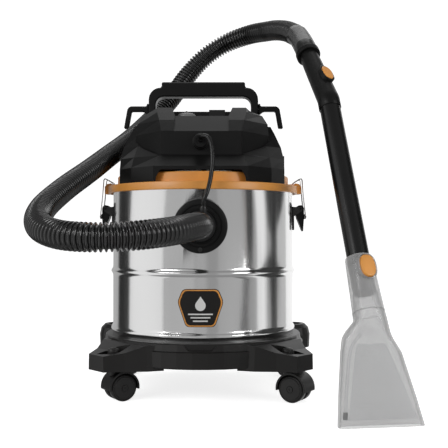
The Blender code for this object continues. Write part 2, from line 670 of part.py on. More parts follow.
def handle():
    """Carry handle with a square raised grip, and a cord hook on each leg."""
    outside = 0.1010
    inside = 0.0880
    right = [
        (inside, 0.4805), (outside, 0.4805), (outside, 0.5180),
        *arc((0.0790, 0.5250), 0.0220, 0, 90, 5), (0.0770, 0.5475), (0.0770, 0.5570),
    ]
    under = [(0.0730, 0.5300), *arc((0.0730, 0.5150), 0.0150, 90, 0, 5)[1:]]
    outline = right + mirrored(right) + mirrored(under) + under
    bar = prism("carry_handle", outline, HANDLE_Y - 0.0125, HANDLE_Y + 0.0125, "black_plastic", "Y")
    soften(bar, 0.0030, 1)
    hook = [
        (outside + GAP, 0.4975), (0.1050, 0.4985), (0.1110, 0.5034), (0.1330, 0.5034), (0.1385, 0.4720),
        (0.1475, 0.4720), (0.1413, 0.5070), (0.1388, 0.5115), (0.1340, 0.5134), (0.1055, 0.5134),
        (0.1050, 0.5185), (outside + GAP, 0.5185),
    ]
    low, high = HANDLE_Y - 0.0055, HANDLE_Y + 0.0055
    for label, points in (("right", hook), ("left", mirrored(hook))):
        soften(prism(f"cord_hook_{label}", points, low, high, "black_plastic", "Y"), 0.0016, 1)
    return bar


def controls():
    """Dial and rocker switch in the tray."""
    dial = [(0, -0.0020), (0.0030, -0.0020), (0.0030, 0.0004), (0.0165, 0.0004), (0.0165, 0.0030),
            (0.0150, 0.0062), (0.0110, 0.0085), (0.0050, 0.0098), (0, 0.0100)]
    knob = lathe("power_dial", dial, "grey_plastic", (*DIAL_AT, 0.4790), 20)
    rib = [(-0.0015, 0.002), (0.0015, 0.002), (0.0015, 0.0112), (-0.0015, 0.0112)]
    union(knob, [prism("rib", rib, -0.0120, 0.0120, "grey_plastic", "Y", (*DIAL_AT, 0.4790))])
    rocker = [(-0.0095, 0.0), (-0.0095, 0.0125), (-0.0040, 0.0108), (0.0040, 0.0108), (0.0095, 0.0125),
              (0.0095, 0.0), (0.0060, -0.0022), (-0.0060, -0.0022)]
    across = [(x, z) for x, z in rocker[::-1]]
    key = prism("rocker_switch", across, -0.0140, 0.0140, "gloss_black", "X", (*ROCKER_AT, 0.4800))
    return knob, key


def outlet():
    """Round solution outlet on the head's front, with a bent spigot for the thin tube."""
    profile = [(0, 0), (0.0140, 0), (0.0140, 0.0040), (0.0120, 0.0055), (0.0120, 0.0120), (0.0105, 0.0140), (0, 0.0140)]
    body = lathe("solution_outlet", profile, "black_plastic", (-0.0010, -0.1254, 0.4305), 20, (0, -1, 0))
    spigot = rod("spigot", (-0.0005, -0.1354, 0.4315), (0.0000, -0.1476, 0.4335), 0.0046, "black_plastic", 12)
    return union(body, [spigot])


def motor():
    """Motor can, suction fan and solution pump inside the head."""
    can = [(0, 0.4680), (0.0480, 0.4680), (0.0600, 0.4600), (0.0600, 0.4080), (0.0560, 0.3900), (0.0060, 0.3900),
           (0.0060, 0.4300), (0, 0.4300)]
    lathe("motor_case", can, "steel", segments=24)
    fan = [(0, 0.4260), (0.0050, 0.4260), (0.0050, 0.3860), (0.0120, 0.3800), (0.0120, 0.3725), (0.0520, 0.3715),
           (0.0520, 0.3700), (0, 0.3700)]
    rotor = lathe("suction_fan", fan, "white_plastic", segments=24)
    blades = []
    for k in range(8):
        blade = box("blade", (0.0110, -0.0008, 0.3708), (0.0500, 0.0008, 0.3840), "white_plastic")
        blades.append(moved(blade, Matrix.Rotation(2 * math.pi * k / 8, 4, "Z")))
    union(rotor, blades)
    x, y = PICKUP_AT
    pump = box("solution_pump", (x - 0.013, y - 0.022, 0.3640), (x + 0.018, y + 0.030, 0.3960), "black_plastic")
    carve(pump, [rod("port", (x, y, 0.35), (x, y, 0.3760), 0.0029, "black_plastic", 16)])
    return rotor


def grille():
    """Slotted exhaust cover and the cord's bushing, both on the rear."""
    rear = 0.1254
    cover = box("exhaust_grille", (-0.0480, rear, 0.4140), (0.0220, rear + 0.0035, 0.4450), "black_plastic")
    slots = [
        box("slot", (-0.0440, rear - 0.01, z), (0.0180, rear + 0.01, z + 0.0026), "black_plastic")
        for z in (0.4185, 0.4240, 0.4295, 0.4350, 0.4400)
    ]
    carve(cover, slots)
    bush = [(0, 0), (0.0110, 0), (0.0110, 0.0040), (0.0070, 0.0050)]
    for k in range(4):
        start = 0.0065 + 0.0050 * k
        radius = 0.0066 - 0.0004 * k
        bush += [(radius, start), (radius, start + 0.0020), (0.0050, start + 0.0026), (0.0050, start + 0.0040)]
    bush += [(0.0034, 0.0270), (0.0034, 0.0200), (0, 0.0200)]
    lathe("power_cord_gland", bush, "rubber", (0.0480, rear, 0.4290), 12, (0, 1, 0))


def float_group():
    """Filter cage, foam sleeve and float ball below the head."""
    cage = [(0, 0.2650), (0.0400, 0.2650), (0.0420, 0.2670), (0.0420, 0.3540), (0.0480, 0.3545), (0.0480, 0.3590),
            (0.0390, 0.3590), (0.0390, 0.2680), (0, 0.2680)]
    body = lathe("filter_cage", cage, "black_plastic", segments=20)
    windows = []
    for k in range(4):
        window = box("window", (-0.0130, 0.02, 0.2740), (0.0130, 0.06, 0.3480), "black_plastic")
        windows.append(moved(window, Matrix.Rotation(math.pi * (k + 0.5) / 2, 4, "Z")))
    carve(body, windows)
    sleeve = [(0.0425, 0.2700), (0.0500, 0.2700), (0.0500, 0.3535), (0.0425, 0.3535)]
    lathe("filter_sleeve", sleeve, "foam", segments=20)
    ball = arc((0, 0), 0.0180, -90, 90, 8)
    ball = [(max(0.0, r) if 0 < k < 8 else 0, z) for k, (r, z) in enumerate(ball)]
    lathe("float_ball", ball, "white_plastic", (0, 0, 0.2868), 14)


def solution_store():
    """Clean-water bottle inside the drum and the pick-up tube that hangs from the pump into it."""
    x, y = PICKUP_AT
    inside = [(0, 0.0825), (0.0330, 0.0825), (0.0330, 0.1790), (0.0120, 0.1900), (0.0120, 0.2000)]
    outside = [(0.0140, 0.2000), (0.0140, 0.1885), (0.0350, 0.1775), (0.0350, 0.0800), (0, 0.0800)]
    lathe("solution_bottle", inside + outside, "clear_plastic", (x, y, 0), 18)
    rod("solution_pickup", (x, y, 0.0900), (x, y, 0.3755), 0.0025, "white_plastic", 12)


# ---------------------------------------------------------------- hose and solution tube

HOSE_ROUTE = (
    (0.000, -0.2008, 0.289), (0.000, -0.240, 0.289), (-0.009, -0.286, 0.2865), (-0.036, -0.336, 0.280),
    (-0.083, -0.374, 0.274), (-0.137, -0.384, 0.272), (-0.188, -0.362, 0.276), (-0.224, -0.314, 0.289),
    (-0.237, -0.240, 0.314), (-0.224, -0.150, 0.349), (-0.198, -0.055, 0.388), (-0.178, 0.040, 0.424),
    (-0.150, 0.125, 0.464), (-0.113, 0.190, 0.514), (-0.0755, 0.235, 0.566), (-0.043, 0.258, 0.618),
    (-0.003, 0.264, 0.662), (0.043, 0.258, 0.691), (0.091, 0.233, 0.703), (0.126, 0.195, 0.7000),
    (0.1457, 0.1594, 0.6931), (0.1630, 0.1180, 0.6800), (0.1765, 0.0740, 0.6610),
)
TUBE_ROUTE = (
    (0.0000, -0.1485, 0.4337), (0.0004, -0.1573, 0.4351), (0.0052, -0.1640, 0.4358), (0.0115, -0.1680, 0.4333),
    (0.0162, -0.1710, 0.4250), (0.0188, -0.1745, 0.4110), (0.0192, -0.1800, 0.3880), (0.0165, -0.1870, 0.3640),
    (0.0115, -0.1935, 0.3430),
)


def hoses():
    cord("suction_hose", HOSE_ROUTE, 2 * HOSE_R, "gloss_black", 0.042)
    cord("solution_tube", TUBE_ROUTE + tube_port_points(), 0.0070, "gloss_black", 0.0085)


def tube_port_points():
    """The tube's last two points, straight above the cuff's port."""
    foot = Vector((0.0050, -0.1930, INLET_Z + 0.0190))
    return tuple(tuple(foot + PORT_WAY * reach) for reach in (0.0220, 0.0130))


# ---------------------------------------------------------------- wand and nozzle

COLLAR_AT = Vector((0.1900, -0.0200, 0.6010))
BEND_AT = Vector((0.2160, -0.1000, 0.5040))
NECK_AT = Vector((0.2514, -0.2680, 0.1600))
GRIP_WAY = (BEND_AT - COLLAR_AT).normalized()
TUBE_WAY = (NECK_AT - BEND_AT).normalized()
GRIP_BUTTON_WAY = Vector((0.50, -0.75, 0.35))
NOZZLE_BUTTON_WAY = Vector((0.29, -0.85, 0.44))
NOZZLE_AT = Vector((0.2643, -0.2940, 0.0))
NOZZLE_YAW = math.radians(8)
NOZZLE_SIDES = 24


def oval(name, centre, along, out, half_long, half_wide, low, high, dome, finish):
    """A rounded plug square to out, from low to high above an axis point; its origin is that point."""
    along = Vector(along).normalized()
    out = Vector(out)
    out = (out - along * out.dot(along)).normalized()
    across = out.cross(along)
    rings = []
    for height, share in ((low, 1.0), (high - dome, 1.0), (high - dome * 0.4, 0.90), (high, 0.60)):
        ring = []
        for k in range(16):
            angle = 2 * math.pi * k / 16
            long = math.copysign(abs(math.cos(angle)) ** 0.8, math.cos(angle)) * half_long
            wide = math.copysign(abs(math.sin(angle)) ** 0.8, math.sin(angle)) * half_wide
            ring.append(out * height + share * (along * long + across * wide))
        rings.append(ring)
    return loft(name, rings, finish, centre, True)


def elbow():
    """The smooth bend between the hose and the wand, straight at both ends."""
    hose_end, before = Vector(HOSE_ROUTE[-1]), Vector(HOSE_ROUTE[-2])
    way = (hose_end - before).normalized()
    start = hose_end + way * 0.0014
    bend = smooth_route([start + way * 0.0110, (0.1838, 0.0300, 0.6368), COLLAR_AT - GRIP_WAY * 0.0180], 0.015)
    route = [start, *bend, COLLAR_AT - GRIP_WAY * 0.0066]
    return pipe("hose_elbow", route, 0.0198, 0.0155, "gloss_black", 18)


def wand():
    """Swivel collar, grip with its spray button, and the long tube."""
    elbow()
    sleeve = [(0.0172, -0.0060), (0.0208, -0.0060), (0.0216, -0.0050), (0.0216, 0.0050), (0.0208, 0.0060),
              (0.0172, 0.0060)]
    lathe("swivel_collar", sleeve, "black_plastic", COLLAR_AT, 24, GRIP_WAY)
    bore = 0.0145
    stations = [(COLLAR_AT + GRIP_WAY * reach, radius, bore) for reach, radius in GRIP_RADII]
    stations += [
        (BEND_AT, 0.0189, bore), (BEND_AT + TUBE_WAY * 0.0040, 0.0189, bore),
        (BEND_AT + TUBE_WAY * 0.0041, 0.0189, SOCKET_R), (BEND_AT + TUBE_WAY * 0.0180, 0.0189, SOCKET_R),
    ]
    points, outer, inner = (list(column) for column in zip(*stations))
    grip = pipe("wand_grip", points, outer, inner, "black_plastic", 18)
    centre = COLLAR_AT + GRIP_WAY * 0.0790
    key = (centre, GRIP_WAY, GRIP_BUTTON_WAY)
    union(grip, [oval("seat", *key, 0.0190, 0.0134, 0.0150, 0.0225, 0.0010, "black_plastic")])
    carve(grip, [oval("well", *key, 0.0166, 0.0116, 0.0160, 0.0300, 0, "black_plastic")])
    oval("spray_button", *key, 0.0155, 0.0105, 0.0178, 0.0242, 0.0022, "orange_plastic")
    straight = [BEND_AT + TUBE_WAY * 0.0046, NECK_AT - TUBE_WAY * 0.0750]
    pipe("wand_tube", straight, TUBE_R, TUBE_R - 0.0018, "gloss_black", 24)


# distance past the collar and outer radius along the grip
GRIP_RADII = ((-0.0055, 0.0166), (0.0080, 0.0166), (0.0350, 0.0172), (0.0900, 0.0182), (0.1205, 0.0187))


def adapter():
    """Clear sleeve on the tube's end: a stop inside it, and a raised seat for its latch button."""
    reach = (0.0890, 0.0860, 0.0745, 0.0744, 0.0310, 0.0309, 0.0004)
    outer = [0.0200, 0.0208, 0.0213, 0.0213, 0.0228, 0.0228, 0.0242]
    inner = [SOCKET_R, SOCKET_R, SOCKET_R, 0.0155, 0.0155, 0.0190, 0.0218]
    body = pipe("nozzle_adapter", [NECK_AT - TUBE_WAY * distance for distance in reach], outer, inner,
                "clear_plastic", 20)
    key = (NECK_AT - TUBE_WAY * 0.0660, TUBE_WAY, NOZZLE_BUTTON_WAY)
    union(body, [oval("seat", *key, 0.0205, 0.0150, 0.0100, 0.0245, 0.0010, "clear_plastic")])
    stop = NECK_AT - TUBE_WAY * 0.0744
    bores = [
        rod("socket", NECK_AT - TUBE_WAY * 0.1200, stop, SOCKET_R, "clear_plastic", 20),
        rod("bore", stop - TUBE_WAY * 0.0010, NECK_AT - TUBE_WAY * 0.0300, 0.0155, "clear_plastic", 20),
    ]
    well = oval("well", *key, 0.0190, 0.0134, 0.0190, 0.0350, 0, "clear_plastic")
    carve(body, [*bores, well])
    oval("nozzle_latch_button", *key, 0.0178, 0.0122, 0.0208, 0.0262, 0.0024, "orange_plastic")


def nozzle_front(z):
    """The front plane of the nozzle, leaning back toward the neck."""
    return -0.0095 + 0.109 * z


def nozzle_ring(z, low_x, high_x, back, inset):
    """A rounded rectangle at one height."""
    front = nozzle_front(z)
    centre = Vector(((low_x + high_x) / 2, (front + back) / 2, z))
    half = Vector(((high_x - low_x) / 2 - inset, (back - front) / 2 - inset))
    ring = []
    for k in range(NOZZLE_SIDES):
        angle = 2 * math.pi * k / NOZZLE_SIDES
        c, s = math.cos(angle), math.sin(angle)
        x = math.copysign(abs(c) ** 0.45, c) * half.x
        y = math.copysign(abs(s) ** 0.45, s) * half.y
        ring.append(centre + Vector((x, y, 0)))
    return ring


def neck_ring(distance, radius):
    """A circle square to the wand's tube, at a distance past the neck, in the nozzle's own frame."""
    unturn = Matrix.Rotation(-NOZZLE_YAW, 3, "Z")
    way = unturn @ TUBE_WAY
    centre = unturn @ (NECK_AT - NOZZLE_AT) + way * distance
    side = Vector((1, 0, 0))
    side = (side - way * side.dot(way)).normalized()
    back = side.cross(way) if side.cross(way).y > 0 else way.cross(side)
    turns = [2 * math.pi * k / NOZZLE_SIDES for k in range(NOZZLE_SIDES)]
    return [centre + radius * (side * math.cos(a) + back * math.sin(a)) for a in turns]


def nozzle_sections(inset):
    """Rings from the neck to the mouth, drawn in by the wall thickness for the inside."""
    heights = ((0.133, -0.0445, 0.0195, 0.0385), (0.124, -0.0515, 0.0230, 0.0320), (0.104, -0.0550, 0.0350, 0.0280),
               (0.040, -0.0615, 0.0540, 0.0150), (0.000, -0.0645, 0.0645, 0.0078))
    necks = [neck_ring(0.0004, 0.0242 - inset), neck_ring(0.0110, 0.0248 - inset)]
    return necks + [nozzle_ring(*row, inset) for row in heights]


def nozzle():
    """Clear nozzle: open from its neck to its mouth, with a raised panel, a spray jet and its feed line."""
    outside = nozzle_sections(0.0)
    inside = nozzle_sections(0.0024)
    verts = [point for ring in outside + inside[::-1] for point in ring]
    rings = [range(k * NOZZLE_SIDES, (k + 1) * NOZZLE_SIDES) for k in range(2 * len(outside))]
    body = add("nozzle_body", verts, bridge(rings, True), "clear_plastic", NOZZLE_AT, True)
    panel = []
    for lift, grow in ((0.0004, 1.0), (0.0020, 0.97)):
        panel.append([
            (x * grow, nozzle_front(z) - lift, z)
            for x, z in ((-0.0510, 0.0120), (0.0510, 0.0120), (0.0080, 0.1180), (-0.0360, 0.1180))
        ])
    cover = loft("nozzle_cover", panel, "clear_plastic", NOZZLE_AT)
    ridges = []
    for z in (0.0290, 0.0335):
        front = nozzle_front(z) - 0.0016
        low, high = (-0.0400, front - 0.0012, z), (0.0400, front + 0.0006, z + 0.0014)
        ridges.append(box("ridge", low, high, "clear_plastic", NOZZLE_AT))
    union(cover, ridges)
    feed = [(-0.0240, 0.0200, 0.1300), (-0.0400, 0.0165, 0.1080), (-0.0480, 0.0090, 0.0600), (-0.0520, 0.0030, 0.0210)]
    line = bent_rod("spray_line", feed, 0.0022, "clear_plastic")
    jet = rod("spray_jet", (-0.0521, 0.0029, 0.0204), (-0.0530, 0.0020, 0.0100), 0.0034, "black_plastic", 16)
    turn = Matrix.Rotation(NOZZLE_YAW, 3, "Z")
    for obj in (line, jet):
        obj.location = NOZZLE_AT + turn @ obj.location
    for obj in (body, cover, line, jet):
        obj.rotation_euler = (0, 0, NOZZLE_YAW)


def place_in_frame():
    """Move every piece so the whole stands on z = 0 with the middle of its footprint at the origin."""
    for obj in bpy.data.objects:
        obj.location = obj.location + FRAME_SHIFT


def build():
    clear_scene()
    drum()
    base()
    badge()
    inlet()
    hose_cuff()
    latch(-1)
    latch(1)
    casters()
    lid()
    lower_housing()
    upper_housing()
    handle()
    controls()
    outlet()
    motor()
    grille()
    float_group()
    solution_store()
    hoses()
    wand()
    adapter()
    nozzle()
    place_in_frame()


build()
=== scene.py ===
"""Looks of a wet carpet cleaner: polished drum, moulded plastics, ribbed hose, wand and clear nozzle.

Lengths are metres, laid out from the drum's axis and moved to the part's frame by SHIFT.
"""

import math

import bmesh
import bpy
from mathutils import Matrix, Vector


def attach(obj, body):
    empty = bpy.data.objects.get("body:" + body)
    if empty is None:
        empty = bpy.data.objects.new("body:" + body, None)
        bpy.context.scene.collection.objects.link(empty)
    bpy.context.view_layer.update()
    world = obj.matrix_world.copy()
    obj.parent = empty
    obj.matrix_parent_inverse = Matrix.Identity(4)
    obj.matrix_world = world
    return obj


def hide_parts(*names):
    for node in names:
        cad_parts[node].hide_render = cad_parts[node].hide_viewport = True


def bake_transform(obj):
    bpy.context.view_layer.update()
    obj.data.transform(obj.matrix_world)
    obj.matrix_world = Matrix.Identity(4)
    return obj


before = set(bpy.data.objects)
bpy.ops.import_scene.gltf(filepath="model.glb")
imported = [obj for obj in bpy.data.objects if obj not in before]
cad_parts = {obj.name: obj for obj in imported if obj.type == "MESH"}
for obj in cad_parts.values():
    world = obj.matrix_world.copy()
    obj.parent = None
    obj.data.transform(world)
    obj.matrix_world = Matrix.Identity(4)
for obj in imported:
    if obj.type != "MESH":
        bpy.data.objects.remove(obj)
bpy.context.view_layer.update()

SHIFT = Vector((-0.0602585, 0.0657182, 0.0))
GAP = 0.0004  # between the flange and the gasket it sits on
DRUM_R = 0.1625
DRUM_WALL = 0.0015
DRUM_BOTTOM = 0.0780
DRUM_RIM = 0.3560
BEADS = (0.1105, 0.2120)
BEAD_HEIGHT = 0.0034
BEAD_WIDTH = 0.0046
INLET_Z = 0.289
INLET_BORE = 0.0250
SCREW_Z = INLET_Z - 0.0375
WHEEL_R = 0.0225
CASTER_TRAIL = 0.0120
PORT_AT = Vector((0.0050, -0.1930, INLET_Z + 0.0190))
PORT_WAY = Vector((0.05, -0.12, 1)).normalized()
HOSE_R = 0.0205
TUBE_R = 0.0175
SOCKET_R = TUBE_R + 0.0006
DIAL_AT = (-0.0270, -0.0620, 0.4790)


# ---------------------------------------------------------------- camera and lights


def make_camera():
    """Low and straight on, from in front of the drum."""
    data = bpy.data.cameras.new("camera")
    data.sensor_width = 36.0
    data.lens = 61.55
    data.dof.use_dof = False
    cam = bpy.data.objects.new("camera", data)
    cam.location = Vector((0.038, -1.40, 0.275)) + SHIFT
    cam.rotation_euler = (math.radians(90.82), 0, 0)
    bpy.context.scene.collection.objects.link(cam)
    bpy.context.scene.camera = cam


def area_light(name, location, target, size, power):
    data = bpy.data.lights.new(name, "AREA")
    data.shape = "RECTANGLE"
    data.size, data.size_y = size
    data.energy = power
    lamp = bpy.data.objects.new(name, data)
    lamp.location = Vector(location)
    lamp.rotation_euler = (Vector(target) - lamp.location).to_track_quat("-Z", "Y").to_euler()
    bpy.context.scene.collection.objects.link(lamp)


def world_light(strength):
    world = bpy.data.worlds.new("studio")
    world.use_nodes = True
    back = world.node_tree.nodes["Background"]
    back.inputs["Color"].default_value = (1.0, 1.0, 1.0, 1.0)
    back.inputs["Strength"].default_value = strength
    bpy.context.scene.world = world


def card(name, edges, brightness, radius=2.6):
    """A curved studio card, seen only in reflections.

    Each edge is (height, start, end), its angles in degrees from the front round to the right.
    """
    steps = 12
    verts = []
    for height, start, end in edges:
        for k in range(steps + 1):
            angle = math.radians(start + (end - start) * k / steps)
            verts.append((radius * math.sin(angle), -radius * math.cos(angle), height))
    row = steps + 1
    faces = [
        (r * row + k, r * row + k + 1, (r + 1) * row + k + 1, (r + 1) * row + k)
        for r in range(len(edges) - 1)
        for k in range(steps)
    ]
    obj = stage_mesh(name, verts, faces, 0.0, brightness)
    obj.location = SHIFT
    obj.visible_camera = False


def stage_mesh(name, verts, faces, colour, brightness):
    """A glowing sheet of the studio that neither lights nor shades the object."""
    mesh = bpy.data.meshes.new(name)
    mesh.from_pydata(verts, [], faces)
    obj = bpy.data.objects.new(name, mesh)
    bpy.context.scene.collection.objects.link(obj)
    mat = bpy.data.materials.new(name)
    mat.use_nodes = True
    shader = mat.node_tree.nodes["Principled BSDF"]
    shader.inputs["Base Color"].default_value = (colour, colour, colour, 1.0)
    shader.inputs["Roughness"].default_value = 1.0
    shader.inputs["Specular IOR Level"].default_value = 0.0
    shader.inputs["Emission Color"].default_value = (1.0, 1.0, 1.0, 1.0)
    shader.inputs["Emission Strength"].default_value = brightness
    mesh.materials.append(mat)
    obj.visible_diffuse = False
    obj.visible_shadow = False
    obj.visible_transmission = False
    return obj


def sweep():
    """White floor that curves up into a wall all round, lit to plain white."""
    segments = 64
    reach, bend = 3.6, 1.2
    profile = [(0.5, 0.0), (reach, 0.0)]
    turns = [math.radians(10 * k) for k in range(1, 10)]
    profile += [(reach + bend * math.sin(a), bend - bend * math.cos(a)) for a in turns]
    profile.append((reach + bend, 5.0))
    verts = [
        (radius * math.cos(2 * math.pi * k / segments), radius * math.sin(2 * math.pi * k / segments), height)
        for radius, height in profile
        for k in range(segments)
    ]
    faces = []
    for r in range(len(profile) - 1):
        low, high = r * segments, (r + 1) * segments
        for k in range(segments):
            j = (k + 1) % segments
            faces.append((low + k, low + j, high + j, high + k))
    faces.append(tuple(range(segments))[::-1])
    obj = stage_mesh("sweep", verts, faces, 0.8, 0.80)
    obj.visible_glossy = False


def studio():
    """White sweep, soft lights, and the cards that give the steel its bands."""
    bpy.context.scene.view_settings.view_transform = "Standard"
    sweep()
    world_light(0.30)
    area_light("key", (-1.9, -1.9, 1.4), (0, 0, 0.3), (1.2, 1.2), 30)
    area_light("fill", (1.9, -1.5, 0.9), (0, 0, 0.3), (1.0, 1.4), 20)
    area_light("top", (0.0, 0.9, 2.2), (0, 0, 0.2), (1.4, 1.4), 8)
    for number, (start, end, brightness) in enumerate(CARDS):
        card(f"card_{number}", [(-2.4, start, end), (2.6, start, end)], brightness)
    for number, edges in enumerate(FLAGS):
        card(f"flag_{number}", edges, 0.04, 2.5)


# start angle, end angle and brightness of each reflection card
CARDS = (
    (-180, -130, 0.50),
    (-129, -101, 0.03),
    (-100, -47, 0.93),
    (-46, -8, 0.53),
    (-7, 6, 0.46),
    (7, 18, 0.34),
    (19, 52, 0.44),
    (53, 69, 0.36),
    (70, 85, 0.95),
    (86, 92, 0.40),
    (93, 104, 0.08),
    (105, 126, 0.60),
    (127, 180, 1.05),
)
# dark flags in front of the cards: (height, start, end) up each one
FLAGS = (
    [(0.16, 88, 96), (0.30, 78, 112), (0.50, 75, 123), (2.6, 72, 124)],
    [(-2.4, 84, 128), (-0.16, 88, 126), (-0.04, 93, 100)],
)


# ---------------------------------------------------------------- materials


def shader_tree(name):
    mat = bpy.data.materials.new(name)
    mat.use_nodes = True
    nodes, links = mat.node_tree.nodes, mat.node_tree.links
    return mat, nodes, links, nodes["Principled BSDF"]


def noise(nodes, links, scale, detail=4.0, stretch=(1, 1, 1)):
    """A noise texture in the object's own space."""
    place = nodes.new("ShaderNodeTexCoord")
    mapping = nodes.new("ShaderNodeMapping")
    mapping.inputs["Scale"].default_value = stretch
    tex = nodes.new("ShaderNodeTexNoise")
    tex.inputs["Scale"].default_value = scale
    tex.inputs["Detail"].default_value = detail
    links.new(place.outputs["Object"], mapping.inputs["Vector"])
    links.new(mapping.outputs["Vector"], tex.inputs["Vector"])
    return tex


def spread(nodes, links, source, low, high):
    """Map a texture's middle range to low..high."""
    ramp = nodes.new("ShaderNodeMapRange")
    ramp.inputs["From Min"].default_value = 0.3
    ramp.inputs["From Max"].default_value = 0.7
    ramp.inputs["To Min"].default_value = low
    ramp.inputs["To Max"].default_value = high
    links.new(source, ramp.inputs["Value"])
    return ramp.outputs["Result"]


def tint(nodes, links, source, dark, light):
    """A colour that drifts between two close shades."""
    mix = nodes.new("ShaderNodeMix")
    mix.data_type = "RGBA"
    mix.inputs["A"].default_value = (*dark, 1.0)
    mix.inputs["B"].default_value = (*light, 1.0)
    links.new(spread(nodes, links, source, 0.0, 1.0), mix.inputs["Factor"])
    return mix.outputs["Result"]


def moulded(name, colour, roughness, grain=900.0, bump=0.02, coat=0.0, gloss=0.5):
    """Moulded plastic: fine grain in the surface, and a slow drift in its shade and gloss."""
    mat, nodes, links, shader = shader_tree(name)
    slow = noise(nodes, links, 14.0, 3.0)
    fine = noise(nodes, links, grain, 2.0)
    dark = tuple(c * 0.88 for c in colour)
    light = tuple(min(1.0, c * 1.12) for c in colour)
    links.new(tint(nodes, links, slow.outputs["Fac"], dark, light), shader.inputs["Base Color"])
    sheen = spread(nodes, links, slow.outputs["Fac"], roughness * 0.9, roughness * 1.1)
    links.new(sheen, shader.inputs["Roughness"])
    relief = nodes.new("ShaderNodeBump")
    relief.inputs["Strength"].default_value = bump
    relief.inputs["Distance"].default_value = 0.0005
    links.new(fine.outputs["Fac"], relief.inputs["Height"])
    links.new(relief.outputs["Normal"], shader.inputs["Normal"])
    shader.inputs["Coat Weight"].default_value = coat
    shader.inputs["Specular IOR Level"].default_value = gloss
    return mat


def polished_steel(name):
    """Mirror-bright rolled sheet with faint upright polishing lines."""
    mat, nodes, links, shader = shader_tree(name)
    shader.inputs["Metallic"].default_value = 1.0
    slow = noise(nodes, links, 6.0, 2.0, (1, 1, 0.25))
    lines = noise(nodes, links, 220.0, 2.0, (1, 1, 0.02))
    shade = tint(nodes, links, slow.outputs["Fac"], (0.70, 0.70, 0.70), (0.80, 0.80, 0.80))
    links.new(shade, shader.inputs["Base Color"])
    links.new(spread(nodes, links, lines.outputs["Fac"], 0.12, 0.18), shader.inputs["Roughness"])
    relief = nodes.new("ShaderNodeBump")
    relief.inputs["Strength"].default_value = 0.015
    relief.inputs["Distance"].default_value = 0.0004
    links.new(slow.outputs["Fac"], relief.inputs["Height"])
    links.new(relief.outputs["Normal"], shader.inputs["Normal"])
    return mat


def clear(name, colour, alpha, roughness=0.08):
    """See-through plastic: a clean tinted film that shows more at its edges, with faint flow marks."""
    mat, nodes, links, shader = shader_tree(name)
    flow = noise(nodes, links, 25.0, 3.0, (1, 1, 0.3))
    shade = tuple(c * 0.93 for c in colour)
    links.new(tint(nodes, links, flow.outputs["Fac"], shade, colour), shader.inputs["Base Color"])
    sheen = spread(nodes, links, flow.outputs["Fac"], roughness * 0.8, roughness * 1.3)
    links.new(sheen, shader.inputs["Roughness"])
    facing = nodes.new("ShaderNodeLayerWeight")
    facing.inputs["Blend"].default_value = 0.35
    body = nodes.new("ShaderNodeMapRange")
    body.inputs["To Min"].default_value = alpha
    body.inputs["To Max"].default_value = min(1.0, alpha + 0.55)
    links.new(facing.outputs["Facing"], body.inputs["Value"])
    links.new(body.outputs["Result"], shader.inputs["Alpha"])
    return mat


MATERIALS = {
    "black_plastic": moulded("charcoal_plastic", (0.0062, 0.0062, 0.0062), 0.36, gloss=0.18),
    "base_plastic": moulded("base_plastic", (0.0095, 0.0088, 0.0084), 0.40, gloss=0.34),
    "gloss_black": moulded("gloss_black", (0.006, 0.006, 0.006), 0.26, 500.0, 0.008, 0.05, 0.35),
    "hose_black": moulded("hose_black", (0.0025, 0.0025, 0.0025), 0.15, 300.0, 0.004, 0.0, 0.9),
    "orange_plastic": moulded("orange_plastic", (0.76, 0.32, 0.060), 0.36),
    "steel": polished_steel("polished_steel"),
    "wire": moulded("drawn_wire", (0.36, 0.35, 0.34), 0.25, 700.0, 0.02),
    "rubber": moulded("soft_rubber", (0.012, 0.012, 0.012), 0.75, 600.0, 0.05),
    "foam": moulded("foam", (0.10, 0.10, 0.11), 0.95, 350.0, 0.6),
    "grey_plastic": moulded("grey_plastic", (0.16, 0.16, 0.16), 0.35),
    "white_plastic": moulded("white_plastic", (0.70, 0.70, 0.68), 0.40),
    "clear_plastic": clear("clear_plastic", (0.60, 0.60, 0.60), 0.30),
    "clear_film": clear("clear_film", (0.60, 0.61, 0.62), 0.05),
    "smoked_plastic": clear("smoked_plastic", (0.34, 0.34, 0.34), 0.60, 0.30),
    "badge_black": moulded("badge_black", (0.012, 0.011, 0.010), 0.34, gloss=0.25),
    "badge_mark": moulded("badge_mark", (0.80, 0.80, 0.78), 0.45),
}
MATERIALS["wire"].node_tree.nodes["Principled BSDF"].inputs["Metallic"].default_value = 1.0


# ---------------------------------------------------------------- mesh helpers


def add(name, verts, faces, finish, location=(0, 0, 0)):
    """A closed mesh object with its faces turned outward."""
    mesh = bpy.data.meshes.new(name + "_look")
    mesh.from_pydata([tuple(v) for v in verts], [], faces)
    bm = bmesh.new()
    bm.from_mesh(mesh)
    bmesh.ops.recalc_face_normals(bm, faces=bm.faces)
    bm.to_mesh(mesh)
    bm.free()
    obj = bpy.data.objects.new(name + "_look", mesh)
    obj.location = location
    mesh.materials.append(MATERIALS[finish])
    bpy.context.scene.collection.objects.link(obj)
    return obj


def settle(obj, body, *nodes, angle=32):
    """Put a finished piece in the part's frame: it rides a body and stands for these CAD nodes.

    Edges gentler than the angle are smoothed.
    """
    obj.location = obj.location + SHIFT
    mesh = obj.data
    for polygon in mesh.polygons:
        polygon.use_smooth = True
    mesh.set_sharp_from_angle(angle=math.radians(angle))
    if body:
        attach(obj, body)
    if nodes:
        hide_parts(*nodes)
    return obj


